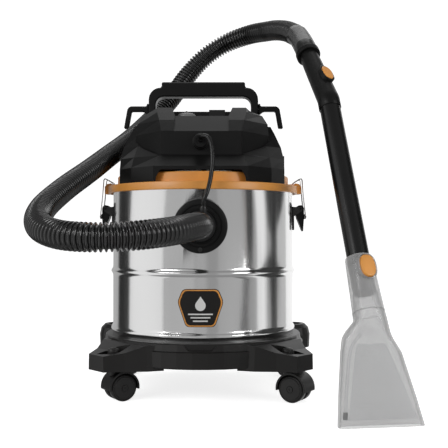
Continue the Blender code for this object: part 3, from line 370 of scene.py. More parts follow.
def carve(obj, tools, operation="DIFFERENCE"):
    """Apply one exact boolean for each tool, and remove the tool."""
    for tool in tools:
        mod = obj.modifiers.new("carve", "BOOLEAN")
        mod.operation = operation
        mod.solver = "EXACT"
        mod.object = tool
        bpy.context.view_layer.update()
        graph = bpy.context.evaluated_depsgraph_get()
        mesh = bpy.data.meshes.new_from_object(obj.evaluated_get(graph))
        obj.modifiers.clear()
        finish = obj.data.materials[0]
        obj.data = mesh
        obj.data.materials.clear()
        obj.data.materials.append(finish)
        for polygon in mesh.polygons:
            polygon.material_index = 0
        bpy.data.objects.remove(tool, do_unlink=True)
    return obj


def union(obj, tools):
    return carve(obj, tools, "UNION")


def rounded(obj, width, segments=2, angle=30):
    """Round the sharp edges for the render."""
    mod = obj.modifiers.new("rounded", "BEVEL")
    mod.width = width
    mod.segments = segments
    mod.limit_method = "ANGLE"
    mod.angle_limit = math.radians(angle)
    mod.harden_normals = True
    mod.use_clamp_overlap = True
    return obj


def bridge(rings, closed):
    """Faces between rings of vertex numbers; a ring of one vertex is a tip."""
    faces = []
    pairs = list(zip(rings, rings[1:]))
    if closed:
        pairs.append((rings[-1], rings[0]))
    for low, high in pairs:
        count = max(len(low), len(high))
        if count == 1:
            continue
        for k in range(count):
            j = (k + 1) % count
            corners = (low[k % len(low)], low[j % len(low)], high[j % len(high)], high[k % len(high)])
            faces.append(tuple(dict.fromkeys(corners)))
    return faces


def lathe(name, profile, finish, location=(0, 0, 0), segments=96, toward=(0, 0, 1)):
    """A closed profile of (radius, height) turned about an axis that points toward."""
    turn = Vector((0, 0, 1)).rotation_difference(Vector(toward)).to_matrix()
    verts = []
    rings = []
    for radius, height in profile:
        count = segments if radius > 0 else 1
        rings.append(range(len(verts), len(verts) + count))
        for k in range(count):
            angle = 2 * math.pi * (k + 0.5) / segments
            verts.append(turn @ Vector((radius * math.cos(angle), radius * math.sin(angle), height)))
    return add(name, verts, bridge(rings, True), finish, location)


def loft(name, sections, finish, location=(0, 0, 0)):
    """A solid through rings of points, with flat ends."""
    verts = [point for ring in sections for point in ring]
    count = len(sections[0])
    rings = [range(k * count, (k + 1) * count) for k in range(len(sections))]
    faces = bridge(rings, False) + [tuple(rings[0]), tuple(rings[-1])]
    return add(name, verts, faces, finish, location)


def prism(name, outline, low, high, finish, axis="Z", location=(0, 0, 0)):
    """A flat outline pushed along one axis, from low to high."""
    place = {
        "X": lambda a, b, c: (c, a, b),
        "Y": lambda a, b, c: (a, c, b),
        "Z": lambda a, b, c: (a, b, c),
    }[axis]
    return loft(name, [[place(a, b, c) for a, b in outline] for c in (low, high)], finish, location)


def rod(name, start, end, radius, finish, segments=32):
    start, end = Vector(start), Vector(end)
    length = (end - start).length
    profile = [(0, 0), (radius, 0), (radius, length), (0, length)]
    return lathe(name, profile, finish, start, segments, end - start)


def round_corners(points, reach, steps=3):
    """Replace each corner of a closed outline with a short curve."""
    points = [Vector(p) for p in points]
    smooth = []
    for k, corner in enumerate(points):
        before, after = points[k - 1], points[(k + 1) % len(points)]
        start = corner + (before - corner).normalized() * min(reach, (before - corner).length * 0.45)
        end = corner + (after - corner).normalized() * min(reach, (after - corner).length * 0.45)
        for m in range(steps + 1):
            t = m / steps
            smooth.append(tuple((1 - t) ** 2 * start + 2 * t * (1 - t) * corner + t**2 * end))
    return smooth


def smooth_route(points, step):
    """Points a step apart on a smooth curve through the route."""
    route = [Vector(p) for p in points]
    route = [2 * route[0] - route[1], *route, 2 * route[-1] - route[-2]]
    fine = []
    for a, b, c, d in zip(route, route[1:], route[2:], route[3:]):
        for k in range(24):
            t = k / 24
            square = 2 * a - 5 * b + 4 * c - d
            cube = 3 * b - a - 3 * c + d
            fine.append(0.5 * (2 * b + (c - a) * t + square * t**2 + cube * t**3))
    fine.append(route[-2])
    total = sum((b - a).length for a, b in zip(fine, fine[1:]))
    count = max(2, round(total / step))
    spaced = [fine[0]]
    gone = 0.0
    for a, b in zip(fine, fine[1:]):
        part = (b - a).length
        while len(spaced) < count and gone + part >= total * len(spaced) / count:
            spaced.append(a.lerp(b, (total * len(spaced) / count - gone) / part))
        gone += part
    return spaced[:count] + [fine[-1]]


def rings_along(points, radii, segments):
    """Circles square to a path, without twist from one to the next."""
    points = [Vector(p) for p in points]
    ways = [(b - a).normalized() for a, b in zip(points, points[1:])]
    tangents = [ways[0]] + [(a + b).normalized() for a, b in zip(ways, ways[1:])] + [ways[-1]]
    side = tangents[0].orthogonal().normalized()
    rings = []
    for point, tangent, radius in zip(points, tangents, radii):
        side = (side - tangent * side.dot(tangent)).normalized()
        up = tangent.cross(side)
        turns = [2 * math.pi * k / segments for k in range(segments)]
        rings.append([point + radius * (side * math.cos(a) + up * math.sin(a)) for a in turns])
    return rings


def pipe(name, points, outer, inner, finish, segments=48):
    """A hollow pipe along a path, with a radius for each point or one for all."""
    outer = outer if isinstance(outer, list) else [outer] * len(points)
    inner = inner if isinstance(inner, list) else [inner] * len(points)
    outside = rings_along(points, outer, segments)
    inside = rings_along(points, inner, segments)
    verts = [point for ring in outside + inside[::-1] for point in ring]
    rings = [range(k * segments, (k + 1) * segments) for k in range(2 * len(points))]
    return add(name, verts, bridge(rings, True), finish)


def arc(centre, radius, start, end, steps):
    """Points on an arc in a plane, angles in degrees."""
    turns = [math.radians(start + (end - start) * k / steps) for k in range(steps + 1)]
    return [(centre[0] + radius * math.cos(a), centre[1] + radius * math.sin(a)) for a in turns]


def mirrored(points):
    return [(-x, *rest) for x, *rest in points][::-1]


# ---------------------------------------------------------------- hose and solution tube

HOSE_ROUTE = (
    (0.000, -0.2008, 0.289), (0.000, -0.240, 0.289), (-0.009, -0.286, 0.2865), (-0.036, -0.336, 0.280),
    (-0.083, -0.374, 0.274), (-0.137, -0.384, 0.272), (-0.188, -0.362, 0.276), (-0.224, -0.314, 0.289),
    (-0.237, -0.240, 0.314), (-0.224, -0.150, 0.349), (-0.198, -0.055, 0.388), (-0.178, 0.040, 0.424),
    (-0.150, 0.125, 0.464), (-0.113, 0.190, 0.514), (-0.0755, 0.235, 0.566), (-0.043, 0.258, 0.618),
    (-0.003, 0.264, 0.662), (0.043, 0.258, 0.691), (0.091, 0.233, 0.703), (0.126, 0.195, 0.7000),
    (0.1457, 0.1594, 0.6931), (0.1630, 0.1180, 0.6800), (0.1765, 0.0740, 0.6610),
)
TUBE_ROUTE = (
    (0.0000, -0.1485, 0.4337), (0.0004, -0.1573, 0.4351), (0.0052, -0.1640, 0.4358), (0.0115, -0.1680, 0.4333),
    (0.0162, -0.1710, 0.4250), (0.0188, -0.1745, 0.4110), (0.0192, -0.1800, 0.3880), (0.0165, -0.1870, 0.3640),
    (0.0115, -0.1935, 0.3430),
)
RIB_PITCH = 0.0070
RIB_DEPTH = 0.0042
# share of one rib's length and share of its height
RIB_PROFILE = (
    (0.00, 0.0), (0.16, 0.03), (0.24, 0.52), (0.34, 0.86),
    (0.48, 1.0), (0.62, 0.86), (0.72, 0.52), (0.80, 0.03),
)


def path_length(points):
    return sum((b - a).length for a, b in zip(points, points[1:]))


def suction_hose():
    """Corrugated hose: round ribs on a thinner wall, all the way along its route."""
    ribs = round(path_length(smooth_route(HOSE_ROUTE, 0.01)) / RIB_PITCH)
    centre = smooth_route(HOSE_ROUTE, RIB_PITCH / 2)
    count = len(centre) - 1
    points = []
    radii = []
    for rib in range(ribs):
        for share, rise in RIB_PROFILE:
            where = (rib + share) / ribs * count
            k = min(count - 1, int(where))
            points.append(centre[k].lerp(centre[k + 1], where - k))
            radii.append(HOSE_R - RIB_DEPTH + RIB_DEPTH * rise)
    points.append(centre[-1])
    radii.append(HOSE_R - RIB_DEPTH)
    hose = loft("suction_hose", rings_along(points, radii, 40), "hose_black")
    settle(hose, "tank", "suction_hose", angle=70)


def solution_tube():
    """Thin tube from the head's outlet down to the port on the cuff; a fixed mesh on no body."""
    route = TUBE_ROUTE + tuple(tuple(PORT_AT + PORT_WAY * reach) for reach in (0.0220, 0.0130))
    centre = smooth_route(route, 0.0025)
    tube = loft("solution_tube", rings_along(centre, [0.0035] * len(centre), 24), "gloss_black")
    settle(tube, None, "solution_tube", angle=60)
    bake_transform(tube)


# ---------------------------------------------------------------- drum and base


def drum():
    """Rolled steel drum with two smooth beads."""
    outer = [
        (DRUM_R - 0.0050, DRUM_BOTTOM), (DRUM_R - 0.0020, DRUM_BOTTOM + 0.0008), (DRUM_R, DRUM_BOTTOM + 0.0035),
    ]
    for centre in BEADS:
        for k in range(13):
            rise = -0.0090 + 0.0015 * k
            swell = BEAD_HEIGHT * math.exp(-((rise / BEAD_WIDTH) ** 2))
            outer.append((DRUM_R + swell, centre + rise))
    outer += [(DRUM_R, DRUM_RIM - 0.005), (DRUM_R + 0.0015, DRUM_RIM - 0.003), (DRUM_R + 0.0015, DRUM_RIM)]
    inner = [(radius - DRUM_WALL, max(height, DRUM_BOTTOM + DRUM_WALL)) for radius, height in outer[::-1]]
    inner[0] = (DRUM_R - DRUM_WALL, DRUM_RIM)
    profile = [(0, DRUM_BOTTOM), *outer, *inner, (0, DRUM_BOTTOM + DRUM_WALL)]
    obj = lathe("tank_barrel", profile, "steel", segments=192)
    carve(obj, inlet_holes(INLET_BORE + 0.001))
    settle(obj, "tank", "tank_barrel", angle=40)


def inlet_holes(bore):
    """Cutters for the hose opening and the flange's screw."""
    return [
        rod("bore", (0, -0.21, INLET_Z), (0, -0.12, INLET_Z), bore, "rubber", 48),
        rod("hole", (0, -0.21, SCREW_Z), (0, -0.12, SCREW_Z), 0.0024, "rubber", 16),
    ]


def badge():
    """Plate with a raised orange rim, and a water drop above three short lines in place of lettering."""
    centre = Vector((0, 0, 0.1570))
    outline = [(0.0235, -0.0305), (0.0375, 0.0100), (0.0290, 0.0305)]
    outline = outline + [(-x, z) for x, z in outline[::-1]]
    corners = {
        scale: round_corners([(x * scale, z * scale) for x, z in outline], 0.0060, 5)
        for scale in (1, 0.97, 0.91)
    }
    front, back = -0.1670, -0.1500
    plate = prism("badge_plate", corners[1], front, back, "badge_black", "Y", centre)
    carve(plate, [shell(0.0004, 0.0020)], "INTERSECT")
    settle(plate, "tank", "badge_plate")
    rim = prism("badge_rim", corners[0.97], front, back, "orange_plastic", "Y", centre)
    carve(rim, [prism("hole", corners[0.91], -0.18, -0.14, "rubber", "Y", centre)])
    carve(rim, [shell(0.0014, 0.0030)], "INTERSECT")
    settle(rim, "tank")
    drop = [(0, 0.0190)] + arc((0, 0.0040), 0.0085, 28, -208, 20)
    mark = prism("badge_mark", drop, front, back, "badge_mark", "Y", centre)
    bars = []
    for half, low in ((0.0200, -0.0110), (0.0160, -0.0165), (0.0120, -0.0220)):
        high = low + 0.0022
        bar = [(-half, low), (half, low), (half, high), (-half, high)]
        bars.append(prism("bar", bar, front, back, "badge_mark", "Y", centre))
    union(mark, bars)
    carve(mark, [shell(0.0014, 0.0024)], "INTERSECT")
    settle(mark, "tank")


def shell(low, high):
    """A thin band round the drum, to bend flat shapes to it."""
    band = [(DRUM_R + low, 0.11), (DRUM_R + high, 0.11), (DRUM_R + high, 0.20), (DRUM_R + low, 0.20)]
    return lathe("shell", band, "rubber", segments=192)


def inlet():
    """Stepped flange fitted to the drum, and the screw at its foot."""
    gasket_out = DRUM_R + 0.0018
    profile = [
        (INLET_BORE, -0.1760), (0.0276, -0.1762), (0.0286, -0.1752), (0.0292, -0.1742), (0.0325, -0.1740),
        (0.0330, -0.1725), (0.0345, -0.1725), (0.0350, -0.1740), (0.0420, -0.1737), (0.0434, -0.1728),
        (0.0440, -0.1712), (0.0440, -0.1400), (INLET_BORE, -0.1400),
    ]
    flange = lathe("inlet_flange", profile, "black_plastic", (0, 0, INLET_Z), 96, (0, 1, 0))
    tools = [rod("drum", (0, 0, 0.2), (0, 0, 0.36), gasket_out + GAP, "rubber", 128)]
    tools.append(rod("hole", (0, -0.21, SCREW_Z), (0, -0.14, SCREW_Z), 0.0024, "rubber", 24))
    tools.append(rod("sink", (0, -0.21, SCREW_Z), (0, -0.1712, SCREW_Z), 0.0042, "rubber", 32))
    carve(flange, tools)
    settle(flange, "tank", "inlet_flange")
    screw = [
        (0, 0), (0.0034, 0), (0.0038, 0.0008), (0.0038, 0.0022),
        (0.0020, 0.0022), (0.0020, 0.0230), (0, 0.0230),
    ]
    screw_at = (0, -0.1739, SCREW_Z)
    head = lathe("inlet_screw", screw, "rubber", screw_at, 32, (0, 1, 0))
    slots = [[(-0.0022, -0.0004), (0.0022, -0.0004), (0.0022, 0.0004), (-0.0022, 0.0004)]]
    slots.append([(z, x) for x, z in slots[0]])
    carve(head, [prism("slot", slot, -0.0010, 0.0010, "rubber", "Y", screw_at) for slot in slots])
    settle(head, "tank", "inlet_screw")


def hose_cuff():
    """Swivel cuff in the flange, ringed like the hose, with the solution tube's port on top."""
    reach = [-0.1500, -0.1770, -0.1776, -0.1786, -0.1800, -0.1806]
    outer = [0.0218, 0.0218, 0.0240, 0.0246, 0.0246, 0.0212]
    for ring in (-0.1826, -0.1868, -0.1910, -0.1952):
        reach += [ring + 0.0011, ring + 0.0005, ring - 0.0005, ring - 0.0011]
        outer += [0.0206, 0.0224, 0.0224, 0.0206]
    axis = [(0, y, INLET_Z) for y in [*reach, -0.2000]]
    outer.append(0.0206)
    sleeve = pipe("hose_cuff", axis, outer, 0.0180, "gloss_black", 72)
    port = [(0, 0), (0.0062, 0), (0.0062, 0.0098), (0.0058, 0.0108), (0.0052, 0.0125), (0, 0.0125)]
    union(sleeve, [lathe("port", port, "gloss_black", PORT_AT, 40, PORT_WAY)])
    settle(sleeve, "tank", "hose_cuff")


# ---------------------------------------------------------------- casters


def casters():
    """Detailed hoods and wheels, each placed where its CAD node stands."""
    front = (0.1455, -0.1235)
    rear = (0.1600, 0.1170)
    places = (
        ("front_left", (-front[0], front[1]), -58), ("front_right", front, 238),
        ("rear_left", (-rear[0], rear[1]), -30), ("rear_right", rear, 205),
    )
    for label, (x, y), heading in places:
        turn = Matrix.Rotation(math.radians(heading), 3, "Z")
        hood = caster_hood(f"caster_{label}")
        hood.location = (x, y, WHEEL_R)
        hood.rotation_euler = (0, 0, math.radians(heading))
        rounded(hood, 0.0006)
        settle(hood, f"caster_{label}", f"caster_{label}")
        axle = Vector((x, y, WHEEL_R)) + turn @ Vector((0, CASTER_TRAIL, 0))
        for letter, side in (("a", 1), ("b", -1)):
            wheel = caster_wheel(f"wheel_{label}_{letter}")
            wheel.location = axle + turn @ Vector((0.0036 * side, 0, 0))
            wheel.rotation_euler = (0, side * math.pi / 2, math.radians(heading))
            settle(wheel, f"wheel_{label}_{letter}", f"wheel_{label}_{letter}")


def caster_hood(name):
    """Fender, web, axle and stem in one piece, hollowed for the two wheels."""
    outer = WHEEL_R + 0.0042
    inner = WHEEL_R + 0.0012
    fender = arc((CASTER_TRAIL, 0), outer, -8, 188, 36) + arc((CASTER_TRAIL, 0), inner, 188, -8, 36)
    hood = prism(name, fender, -0.0190, 0.0190, "base_plastic", "X")
    web = arc((CASTER_TRAIL, 0), WHEEL_R + 0.0030, 0, 180, 24)
    web += [(CASTER_TRAIL - 0.012, -0.0130), (CASTER_TRAIL + 0.012, -0.0130)]
    union(hood, [prism("web", web, -0.0032, 0.0032, "base_plastic", "X")])
    left, right = (-0.0140, CASTER_TRAIL, 0), (0.0140, CASTER_TRAIL, 0)
    union(hood, [rod("axle", left, right, 0.0030, "base_plastic", 24)])
    post = [(0, 0.0200), (0.0085, 0.0200), (0.0085, 0.0315), (0.0048, 0.0315), (0.0048, 0.0430), (0, 0.0430)]
    stem = lathe("stem", post, "base_plastic", segments=40)
    rooms = [
        rod("room", (side * 0.03, CASTER_TRAIL, 0), (side * 0.0032, CASTER_TRAIL, 0), inner, "rubber", 64)
        for side in (-1, 1)
    ]
    carve(stem, rooms)
    return union(hood, [stem])


def caster_wheel(name):
    """A disc wheel with a rounded tread, a thin rim step and a hub cap with a screw recess."""
    r = WHEEL_R
    profile = [
        (0.0034, 0), (r - 0.0018, 0), (r - 0.0006, 0.0005), (r, 0.0018), (r, 0.0118), (r - 0.0006, 0.0132),
        (r - 0.0018, 0.0142), (r - 0.0030, 0.0145), (r - 0.0034, 0.0139), (r - 0.0044, 0.0139),
        (r - 0.0050, 0.0147), (0.0062, 0.0154), (0.0058, 0.0148), (0.0050, 0.0148), (0.0046, 0.0160),
        (0.0020, 0.0160), (0.0018, 0.0150), (0, 0.0150), (0, 0.0110), (0.0034, 0.0110),
    ]
    return lathe(name, profile, "base_plastic", segments=72)


# ---------------------------------------------------------------- motor head


def lid():
    """Orange ring with a low wall, two latch ears, and slots for the housing's feet."""
    flange = 0.1715
    wall_in, wall_out = 0.1500, 0.1545
    profile = [
        (wall_in, 0.3450), (0.1590, 0.3450), (0.1590, 0.3580), (0.1668, 0.3580), (0.1668, 0.3490),
        (flange - 0.0008, 0.3490), (flange, 0.3500), (flange, 0.3606), (flange - 0.0005, 0.3618),
        (flange - 0.0018, 0.3622), (wall_out, 0.3622), (wall_out, 0.3778), (wall_out - 0.0014, 0.3792),
        (wall_in + 0.0014, 0.3792), (wall_in, 0.3778),
    ]
    ring = lathe("lid_ring", profile, "orange_plastic", segments=176)
    for side in (-1, 1):
        ear = [
            (0.1690, 0.3492), (0.1770, 0.3492), (0.1780, 0.3502), (0.1780, 0.3625), (0.1740, 0.3672),
            (0.1672, 0.3686), (0.1660, 0.3668), (0.1540, 0.3668), (0.1540, 0.3600), (0.1690, 0.3600),
        ]
        points = ear if side > 0 else mirrored(ear)
        union(ring, [prism("ear", points, -0.0130, 0.0130, "orange_plastic", "Y")])
    low, high = 0.1390, 0.1442
    right = [(low, -0.09), (high, -0.09), (high, 0.09), (low, 0.09)]
    left = [(-high, -0.09), (-low, -0.09), (-low, 0.09), (-high, 0.09)]
    carve(ring, [prism("slot", outline, 0.3626, 0.40, "rubber") for outline in (right, left)])
    settle(ring, "head", "lid_ring")


def dial():
    """Ribbed knob with a domed top and a raised pointer."""
    profile = [
        (0, -0.0020), (0.0030, -0.0020), (0.0030, 0.0004), (0.0160, 0.0004), (0.0165, 0.0010), (0.0165, 0.0028),
    ]
    turns = [math.radians(9 * k) for k in range(1, 10)]
    profile += [(0.0160 * math.cos(a), 0.0036 + 0.0064 * math.sin(a)) for a in turns]
    profile.append((0, 0.0100))
    knob = lathe("power_dial", profile, "grey_plastic", DIAL_AT, 64)
    rib = [(-0.0013, 0.002), (0.0013, 0.002), (0.0013, 0.0110), (-0.0013, 0.0110)]
    union(knob, [prism("rib", rib, -0.0118, 0.0118, "grey_plastic", "Y", DIAL_AT)])
    rounded(knob, 0.0004)
    settle(knob, "dial", "power_dial", angle=40)


def outlet():
    """Round outlet with a stepped face and a bent spigot."""
    profile = [
        (0, 0), (0.0136, 0), (0.0140, 0.0006), (0.0140, 0.0036), (0.0136, 0.0042), (0.0120, 0.0050),
        (0.0120, 0.0116), (0.0114, 0.0128), (0.0104, 0.0138), (0.0080, 0.0140), (0.0074, 0.0132), (0, 0.0132),
    ]
    body = lathe("solution_outlet", profile, "black_plastic", (-0.0010, -0.1254, 0.4305), 64, (0, -1, 0))
    root, tip = (-0.0005, -0.1354, 0.4315), (0.0000, -0.1476, 0.4335)
    union(body, [rod("spigot", root, tip, 0.0046, "black_plastic", 32)])
    settle(body, "head", "solution_outlet")


# ---------------------------------------------------------------- wand and nozzle

COLLAR_AT = Vector((0.1900, -0.0200, 0.6010))
BEND_AT = Vector((0.2160, -0.1000, 0.5040))
NECK_AT = Vector((0.2514, -0.2680, 0.1600))
GRIP_WAY = (BEND_AT - COLLAR_AT).normalized()
TUBE_WAY = (NECK_AT - BEND_AT).normalized()
GRIP_BUTTON_WAY = Vector((0.50, -0.75, 0.35))
NOZZLE_BUTTON_WAY = Vector((0.29, -0.85, 0.44))
NOZZLE_AT = Vector((0.2643, -0.2940, 0.0))
NOZZLE_YAW = math.radians(8)
NOZZLE_SIDES = 72
NOZZLE_WALL = 0.0024
# height, left edge, right edge and back of the nozzle
NOZZLE_HEIGHTS = (
    (0.133, -0.0445, 0.0195, 0.0385), (0.124, -0.0515, 0.0230, 0.0320), (0.104, -0.0550, 0.0350, 0.0280),
    (0.072, -0.0582, 0.0445, 0.0215), (0.040, -0.0615, 0.0540, 0.0150), (0.000, -0.0645, 0.0645, 0.0078),
)
# distance past the collar and outer radius along the grip
GRIP_RADII = (
    (-0.0055, 0.0166), (0.0080, 0.0166), (0.0200, 0.0168), (0.0350, 0.0172),
    (0.0600, 0.0177), (0.0900, 0.0182), (0.1120, 0.0186), (0.1205, 0.0187),
)


def oval(name, centre, along, out, half_long, half_wide, low, high, dome, finish):
    """A rounded plug square to out, from low to high above an axis point."""
    along = Vector(along).normalized()
    out = Vector(out)
    out = (out - along * out.dot(along)).normalized()
    across = out.cross(along)
    steps = [(low, 1.0), (high - dome, 1.0)]
    if dome:
        turns = [math.radians(15 * k) for k in range(1, 6)]
        steps += [(high - dome * (1 - math.sin(a)), 0.82 + 0.18 * math.cos(a)) for a in turns]
    steps.append((high, 0.78 if dome else 1.0))
    rings = []
    for height, share in steps:
        ring = []
        for k in range(48):
            angle = 2 * math.pi * k / 48
            long = math.copysign(abs(math.cos(angle)) ** 0.8, math.cos(angle)) * half_long
            wide = math.copysign(abs(math.sin(angle)) ** 0.8, math.sin(angle)) * half_wide
            ring.append(out * height + share * (along * long + across * wide))
        rings.append(ring)
    return loft(name, rings, finish, centre)


def elbow():
    """The smooth bend between the hose and the wand, with a few faint rings as on the hose."""
    hose_end, before = Vector(HOSE_ROUTE[-1]), Vector(HOSE_ROUTE[-2])
    way = (hose_end - before).normalized()
    start = hose_end + way * 0.0014
    middle = (0.1838, 0.0300, 0.6368)
    bend = smooth_route([start + way * 0.0110, middle, COLLAR_AT - GRIP_WAY * 0.0180], 0.0018)
    route = [start, start + way * 0.0036, start + way * 0.0073, *bend, COLLAR_AT - GRIP_WAY * 0.0066]
    radii = [0.0198 - (0.0006 if k % 4 == 2 else 0.0) for k in range(len(route))]
    settle(pipe("hose_elbow", route, radii, 0.0155, "gloss_black"), "tank", "hose_elbow", angle=50)


def wand():
    """Swivel collar, grip with its spray button, and the long tube."""
    elbow()
    sleeve = [
        (0.0172, -0.0060), (0.0206, -0.0060), (0.0214, -0.0054), (0.0216, -0.0046),
        (0.0216, -0.0010), (0.0211, -0.0006), (0.0211, 0.0006), (0.0216, 0.0010),
        (0.0216, 0.0046), (0.0214, 0.0054), (0.0206, 0.0060), (0.0172, 0.0060),
    ]
    settle(lathe("swivel_collar", sleeve, "black_plastic", COLLAR_AT, 72, GRIP_WAY), "tank", "swivel_collar")
    bore = 0.0145
    stations = [(COLLAR_AT + GRIP_WAY * reach, radius, bore) for reach, radius in GRIP_RADII]
    stations += [
        (BEND_AT - GRIP_WAY * 0.0030, 0.0188, bore),
        (BEND_AT, 0.0189, bore),
        (BEND_AT + TUBE_WAY * 0.0040, 0.0189, bore),
        (BEND_AT + TUBE_WAY * 0.0041, 0.0189, SOCKET_R),
        (BEND_AT + TUBE_WAY * 0.0172, 0.0189, SOCKET_R),
        (BEND_AT + TUBE_WAY * 0.0180, 0.0184, SOCKET_R),
    ]
    points, outer, inner = (list(column) for column in zip(*stations))
    grip = pipe("wand_grip", points, outer, inner, "black_plastic")
    key = (COLLAR_AT + GRIP_WAY * 0.0790, GRIP_WAY, GRIP_BUTTON_WAY)
    union(grip, [oval("seat", *key, 0.0190, 0.0134, 0.0150, 0.0225, 0.0010, "rubber")])
    carve(grip, [oval("well", *key, 0.0166, 0.0116, 0.0160, 0.0300, 0, "rubber")])
    settle(grip, "tank", "wand_grip")
    button = oval("spray_button", *key, 0.0155, 0.0105, 0.0178, 0.0242, 0.0022, "orange_plastic")
    settle(button, "spray_button", "spray_button", angle=50)
    straight = [BEND_AT + TUBE_WAY * 0.0046, NECK_AT - TUBE_WAY * 0.0750]
    settle(pipe("wand_tube", straight, TUBE_R, TUBE_R - 0.0018, "gloss_black"), "tank", "wand_tube")


def adapter():
    """Clear sleeve on the tube's end: a raised seat, the dark core below it, and the latch button."""
    reach = (0.0890, 0.0882, 0.0860, 0.0745, 0.0744, 0.0310, 0.0309, 0.0004)
    outer = [0.0198, 0.0204, 0.0208, 0.0213, 0.0213, 0.0228, 0.0228, 0.0242]
    bore = 0.0178
    inner = [SOCKET_R, SOCKET_R, SOCKET_R, SOCKET_R, bore, bore, 0.0190, 0.0218]
    points = [NECK_AT - TUBE_WAY * distance for distance in reach]
    body = pipe("nozzle_adapter", points, outer, inner, "clear_plastic")
    key = (NECK_AT - TUBE_WAY * 0.0660, TUBE_WAY, NOZZLE_BUTTON_WAY)
    union(body, [oval("seat", *key, 0.0205, 0.0150, 0.0100, 0.0245, 0.0010, "rubber")])
    top, stop, end = (NECK_AT - TUBE_WAY * distance for distance in (0.1200, 0.0744, 0.0300))
    well = oval("well", *key, 0.0190, 0.0134, 0.0190, 0.0350, 0, "rubber")
    socket = rod("socket", top, stop, SOCKET_R, "rubber", 48)
    carve(body, [socket, rod("bore", stop, end, bore, "rubber", 48), well])
    settle(body, "nozzle", "nozzle_adapter")
    core = [stop - TUBE_WAY * 0.0004, NECK_AT - TUBE_WAY * 0.0315]
    settle(pipe("nozzle_core", core, 0.0176, 0.0157, "smoked_plastic"), "nozzle")
    button = oval("nozzle_latch_button", *key, 0.0178, 0.0122, 0.0208, 0.0262, 0.0024, "orange_plastic")
    settle(button, "nozzle_latch", "nozzle_latch_button", angle=50)


def nozzle_front(z):
    """The front wall leans back as it rises."""
    return -0.0095 + 0.109 * z


def nozzle_ring(z, low_x, high_x, back, inset):
    """A rounded rectangle at one height."""
    front = nozzle_front(z)
    centre = Vector(((low_x + high_x) / 2, (front + back) / 2, z))
    half = Vector(((high_x - low_x) / 2 - inset, (back - front) / 2 - inset))
    ring = []
    for k in range(NOZZLE_SIDES):
        angle = 2 * math.pi * k / NOZZLE_SIDES
        c, s = math.cos(angle), math.sin(angle)
        x = math.copysign(abs(c) ** 0.45, c) * half.x
        y = math.copysign(abs(s) ** 0.45, s) * half.y
        ring.append(centre + Vector((x, y, 0)))
    return ring


def neck_ring(distance, radius):
    """A circle square to the wand's tube, at a distance past the neck, in the nozzle's own frame."""
    unturn = Matrix.Rotation(-NOZZLE_YAW, 3, "Z")
    way = unturn @ TUBE_WAY
    centre = unturn @ (NECK_AT - NOZZLE_AT) + way * distance
    side = Vector((1, 0, 0))
    side = (side - way * side.dot(way)).normalized()
    back = side.cross(way) if side.cross(way).y > 0 else way.cross(side)
    turns = [2 * math.pi * k / NOZZLE_SIDES for k in range(NOZZLE_SIDES)]
    return [centre + radius * (side * math.cos(a) + back * math.sin(a)) for a in turns]


def nozzle_sections(inset):
    """Rings from the neck down to the mouth, drawn in by inset for the inner wall."""
    necks = [neck_ring(0.0004, 0.0242 - inset), neck_ring(0.0110, 0.0248 - inset)]
    return necks + [nozzle_ring(*row, inset) for row in NOZZLE_HEIGHTS]


def at_nozzle(obj, body, *nodes, angle=32):
    """Place a piece that was drawn in the nozzle's own frame."""
    turn = Matrix.Rotation(NOZZLE_YAW, 3, "Z")
    obj.location = NOZZLE_AT + turn @ obj.location
    obj.rotation_euler = (0, 0, NOZZLE_YAW)
    settle(obj, body, *nodes, angle=angle)


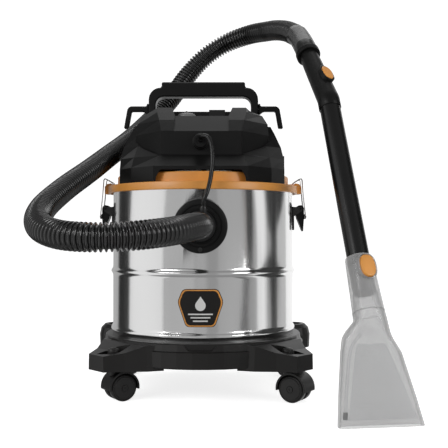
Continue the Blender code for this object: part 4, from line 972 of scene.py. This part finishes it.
def nozzle():
    """Clear hollow nozzle with a raised front panel, two ridges, the spray line and its jet."""
    outside = nozzle_sections(0.0)
    inside = nozzle_sections(NOZZLE_WALL)
    verts = [point for ring in outside + inside[::-1] for point in ring]
    rings = [range(k * NOZZLE_SIDES, (k + 1) * NOZZLE_SIDES) for k in range(2 * len(outside))]
    body = add("nozzle_body", verts, bridge(rings, True), "clear_plastic")
    at_nozzle(body, "nozzle", "nozzle_body", angle=50)
    outline = ((-0.0510, 0.0120), (0.0510, 0.0120), (0.0080, 0.1180), (-0.0360, 0.1180))
    layers = ((0.0004, 1.0), (0.0016, 1.0), (0.0020, 0.985))
    panel = [[(x * grow, nozzle_front(z) - lift, z) for x, z in outline] for lift, grow in layers]
    cover = loft("nozzle_cover", panel, "clear_film")
    ridges = []
    for z in (0.0290, 0.0335):
        front = nozzle_front(z) - 0.0016
        proud, sunk, high = front - 0.0012, front + 0.0006, z + 0.0014
        ridge = [(proud, z), (sunk, z), (sunk, high), (proud, high)]
        ridges.append(prism("ridge", ridge, -0.0400, 0.0400, "rubber", "X"))
    union(cover, ridges)
    at_nozzle(cover, "nozzle", "nozzle_cover")
    corners = [
        (-0.0240, 0.0200, 0.1300), (-0.0400, 0.0165, 0.1080),
        (-0.0480, 0.0090, 0.0600), (-0.0520, 0.0030, 0.0210),
    ]
    feed = smooth_route(corners, 0.004)
    line = loft("spray_line", rings_along(feed, [0.0022] * len(feed), 20), "clear_film")
    jet = rod("spray_jet", (-0.0521, 0.0029, 0.0204), (-0.0530, 0.0020, 0.0100), 0.0034, "black_plastic", 32)
    at_nozzle(line, "nozzle", "spray_line")
    at_nozzle(jet, "nozzle", "spray_jet")


# ---------------------------------------------------------------- CAD nodes that stay


# finish and edge rounding of each CAD node that is shown as it is
KEPT = {
    "base_plastic": (("base_chassis", 0.0012),),
    "black_plastic": (
        ("lower_housing", 0.0016), ("upper_housing", 0.0022), ("carry_handle", 0.0010),
        ("cord_hook_left", 0.0007), ("cord_hook_right", 0.0007), ("latch_lever_left", 0.0008),
        ("latch_lever_right", 0.0008), ("motor_plate", 0.0005), ("exhaust_grille", 0.0004),
        ("solution_pump", 0.0010), ("filter_cage", 0.0005), ("inlet_deflector", 0),
    ),
    "gloss_black": (("rocker_switch", 0.0008),),
    "wire": (("latch_bail_left", 0), ("latch_bail_right", 0)),
    "steel": (("motor_case", 0.0010),),
    "rubber": (
        ("lid_seal", 0), ("inlet_gasket", 0), ("power_cord_gland", 0.0003), ("latch_bracket_left", 0.0003),
        ("latch_bracket_right", 0.0003),
    ),
    "foam": (("filter_sleeve", 0.0010),),
    "white_plastic": (("suction_fan", 0.0003), ("float_ball", 0), ("solution_pickup", 0)),
    "clear_plastic": (("solution_bottle", 0.0004),),
}


def finish_kept_nodes():
    """Give each CAD node that stays its material, and round its edges for the render."""
    for finish, rows in KEPT.items():
        for node, width in rows:
            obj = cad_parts[node]
            obj.data.materials.clear()
            obj.data.materials.append(MATERIALS[finish])
            if width:
                rounded(obj, width, 3)


# ---------------------------------------------------------------- build

make_camera()
suction_hose()
solution_tube()
studio()
drum()
badge()
inlet()
hose_cuff()
casters()
lid()
dial()
outlet()
wand()
adapter()
nozzle()
finish_kept_nodes()
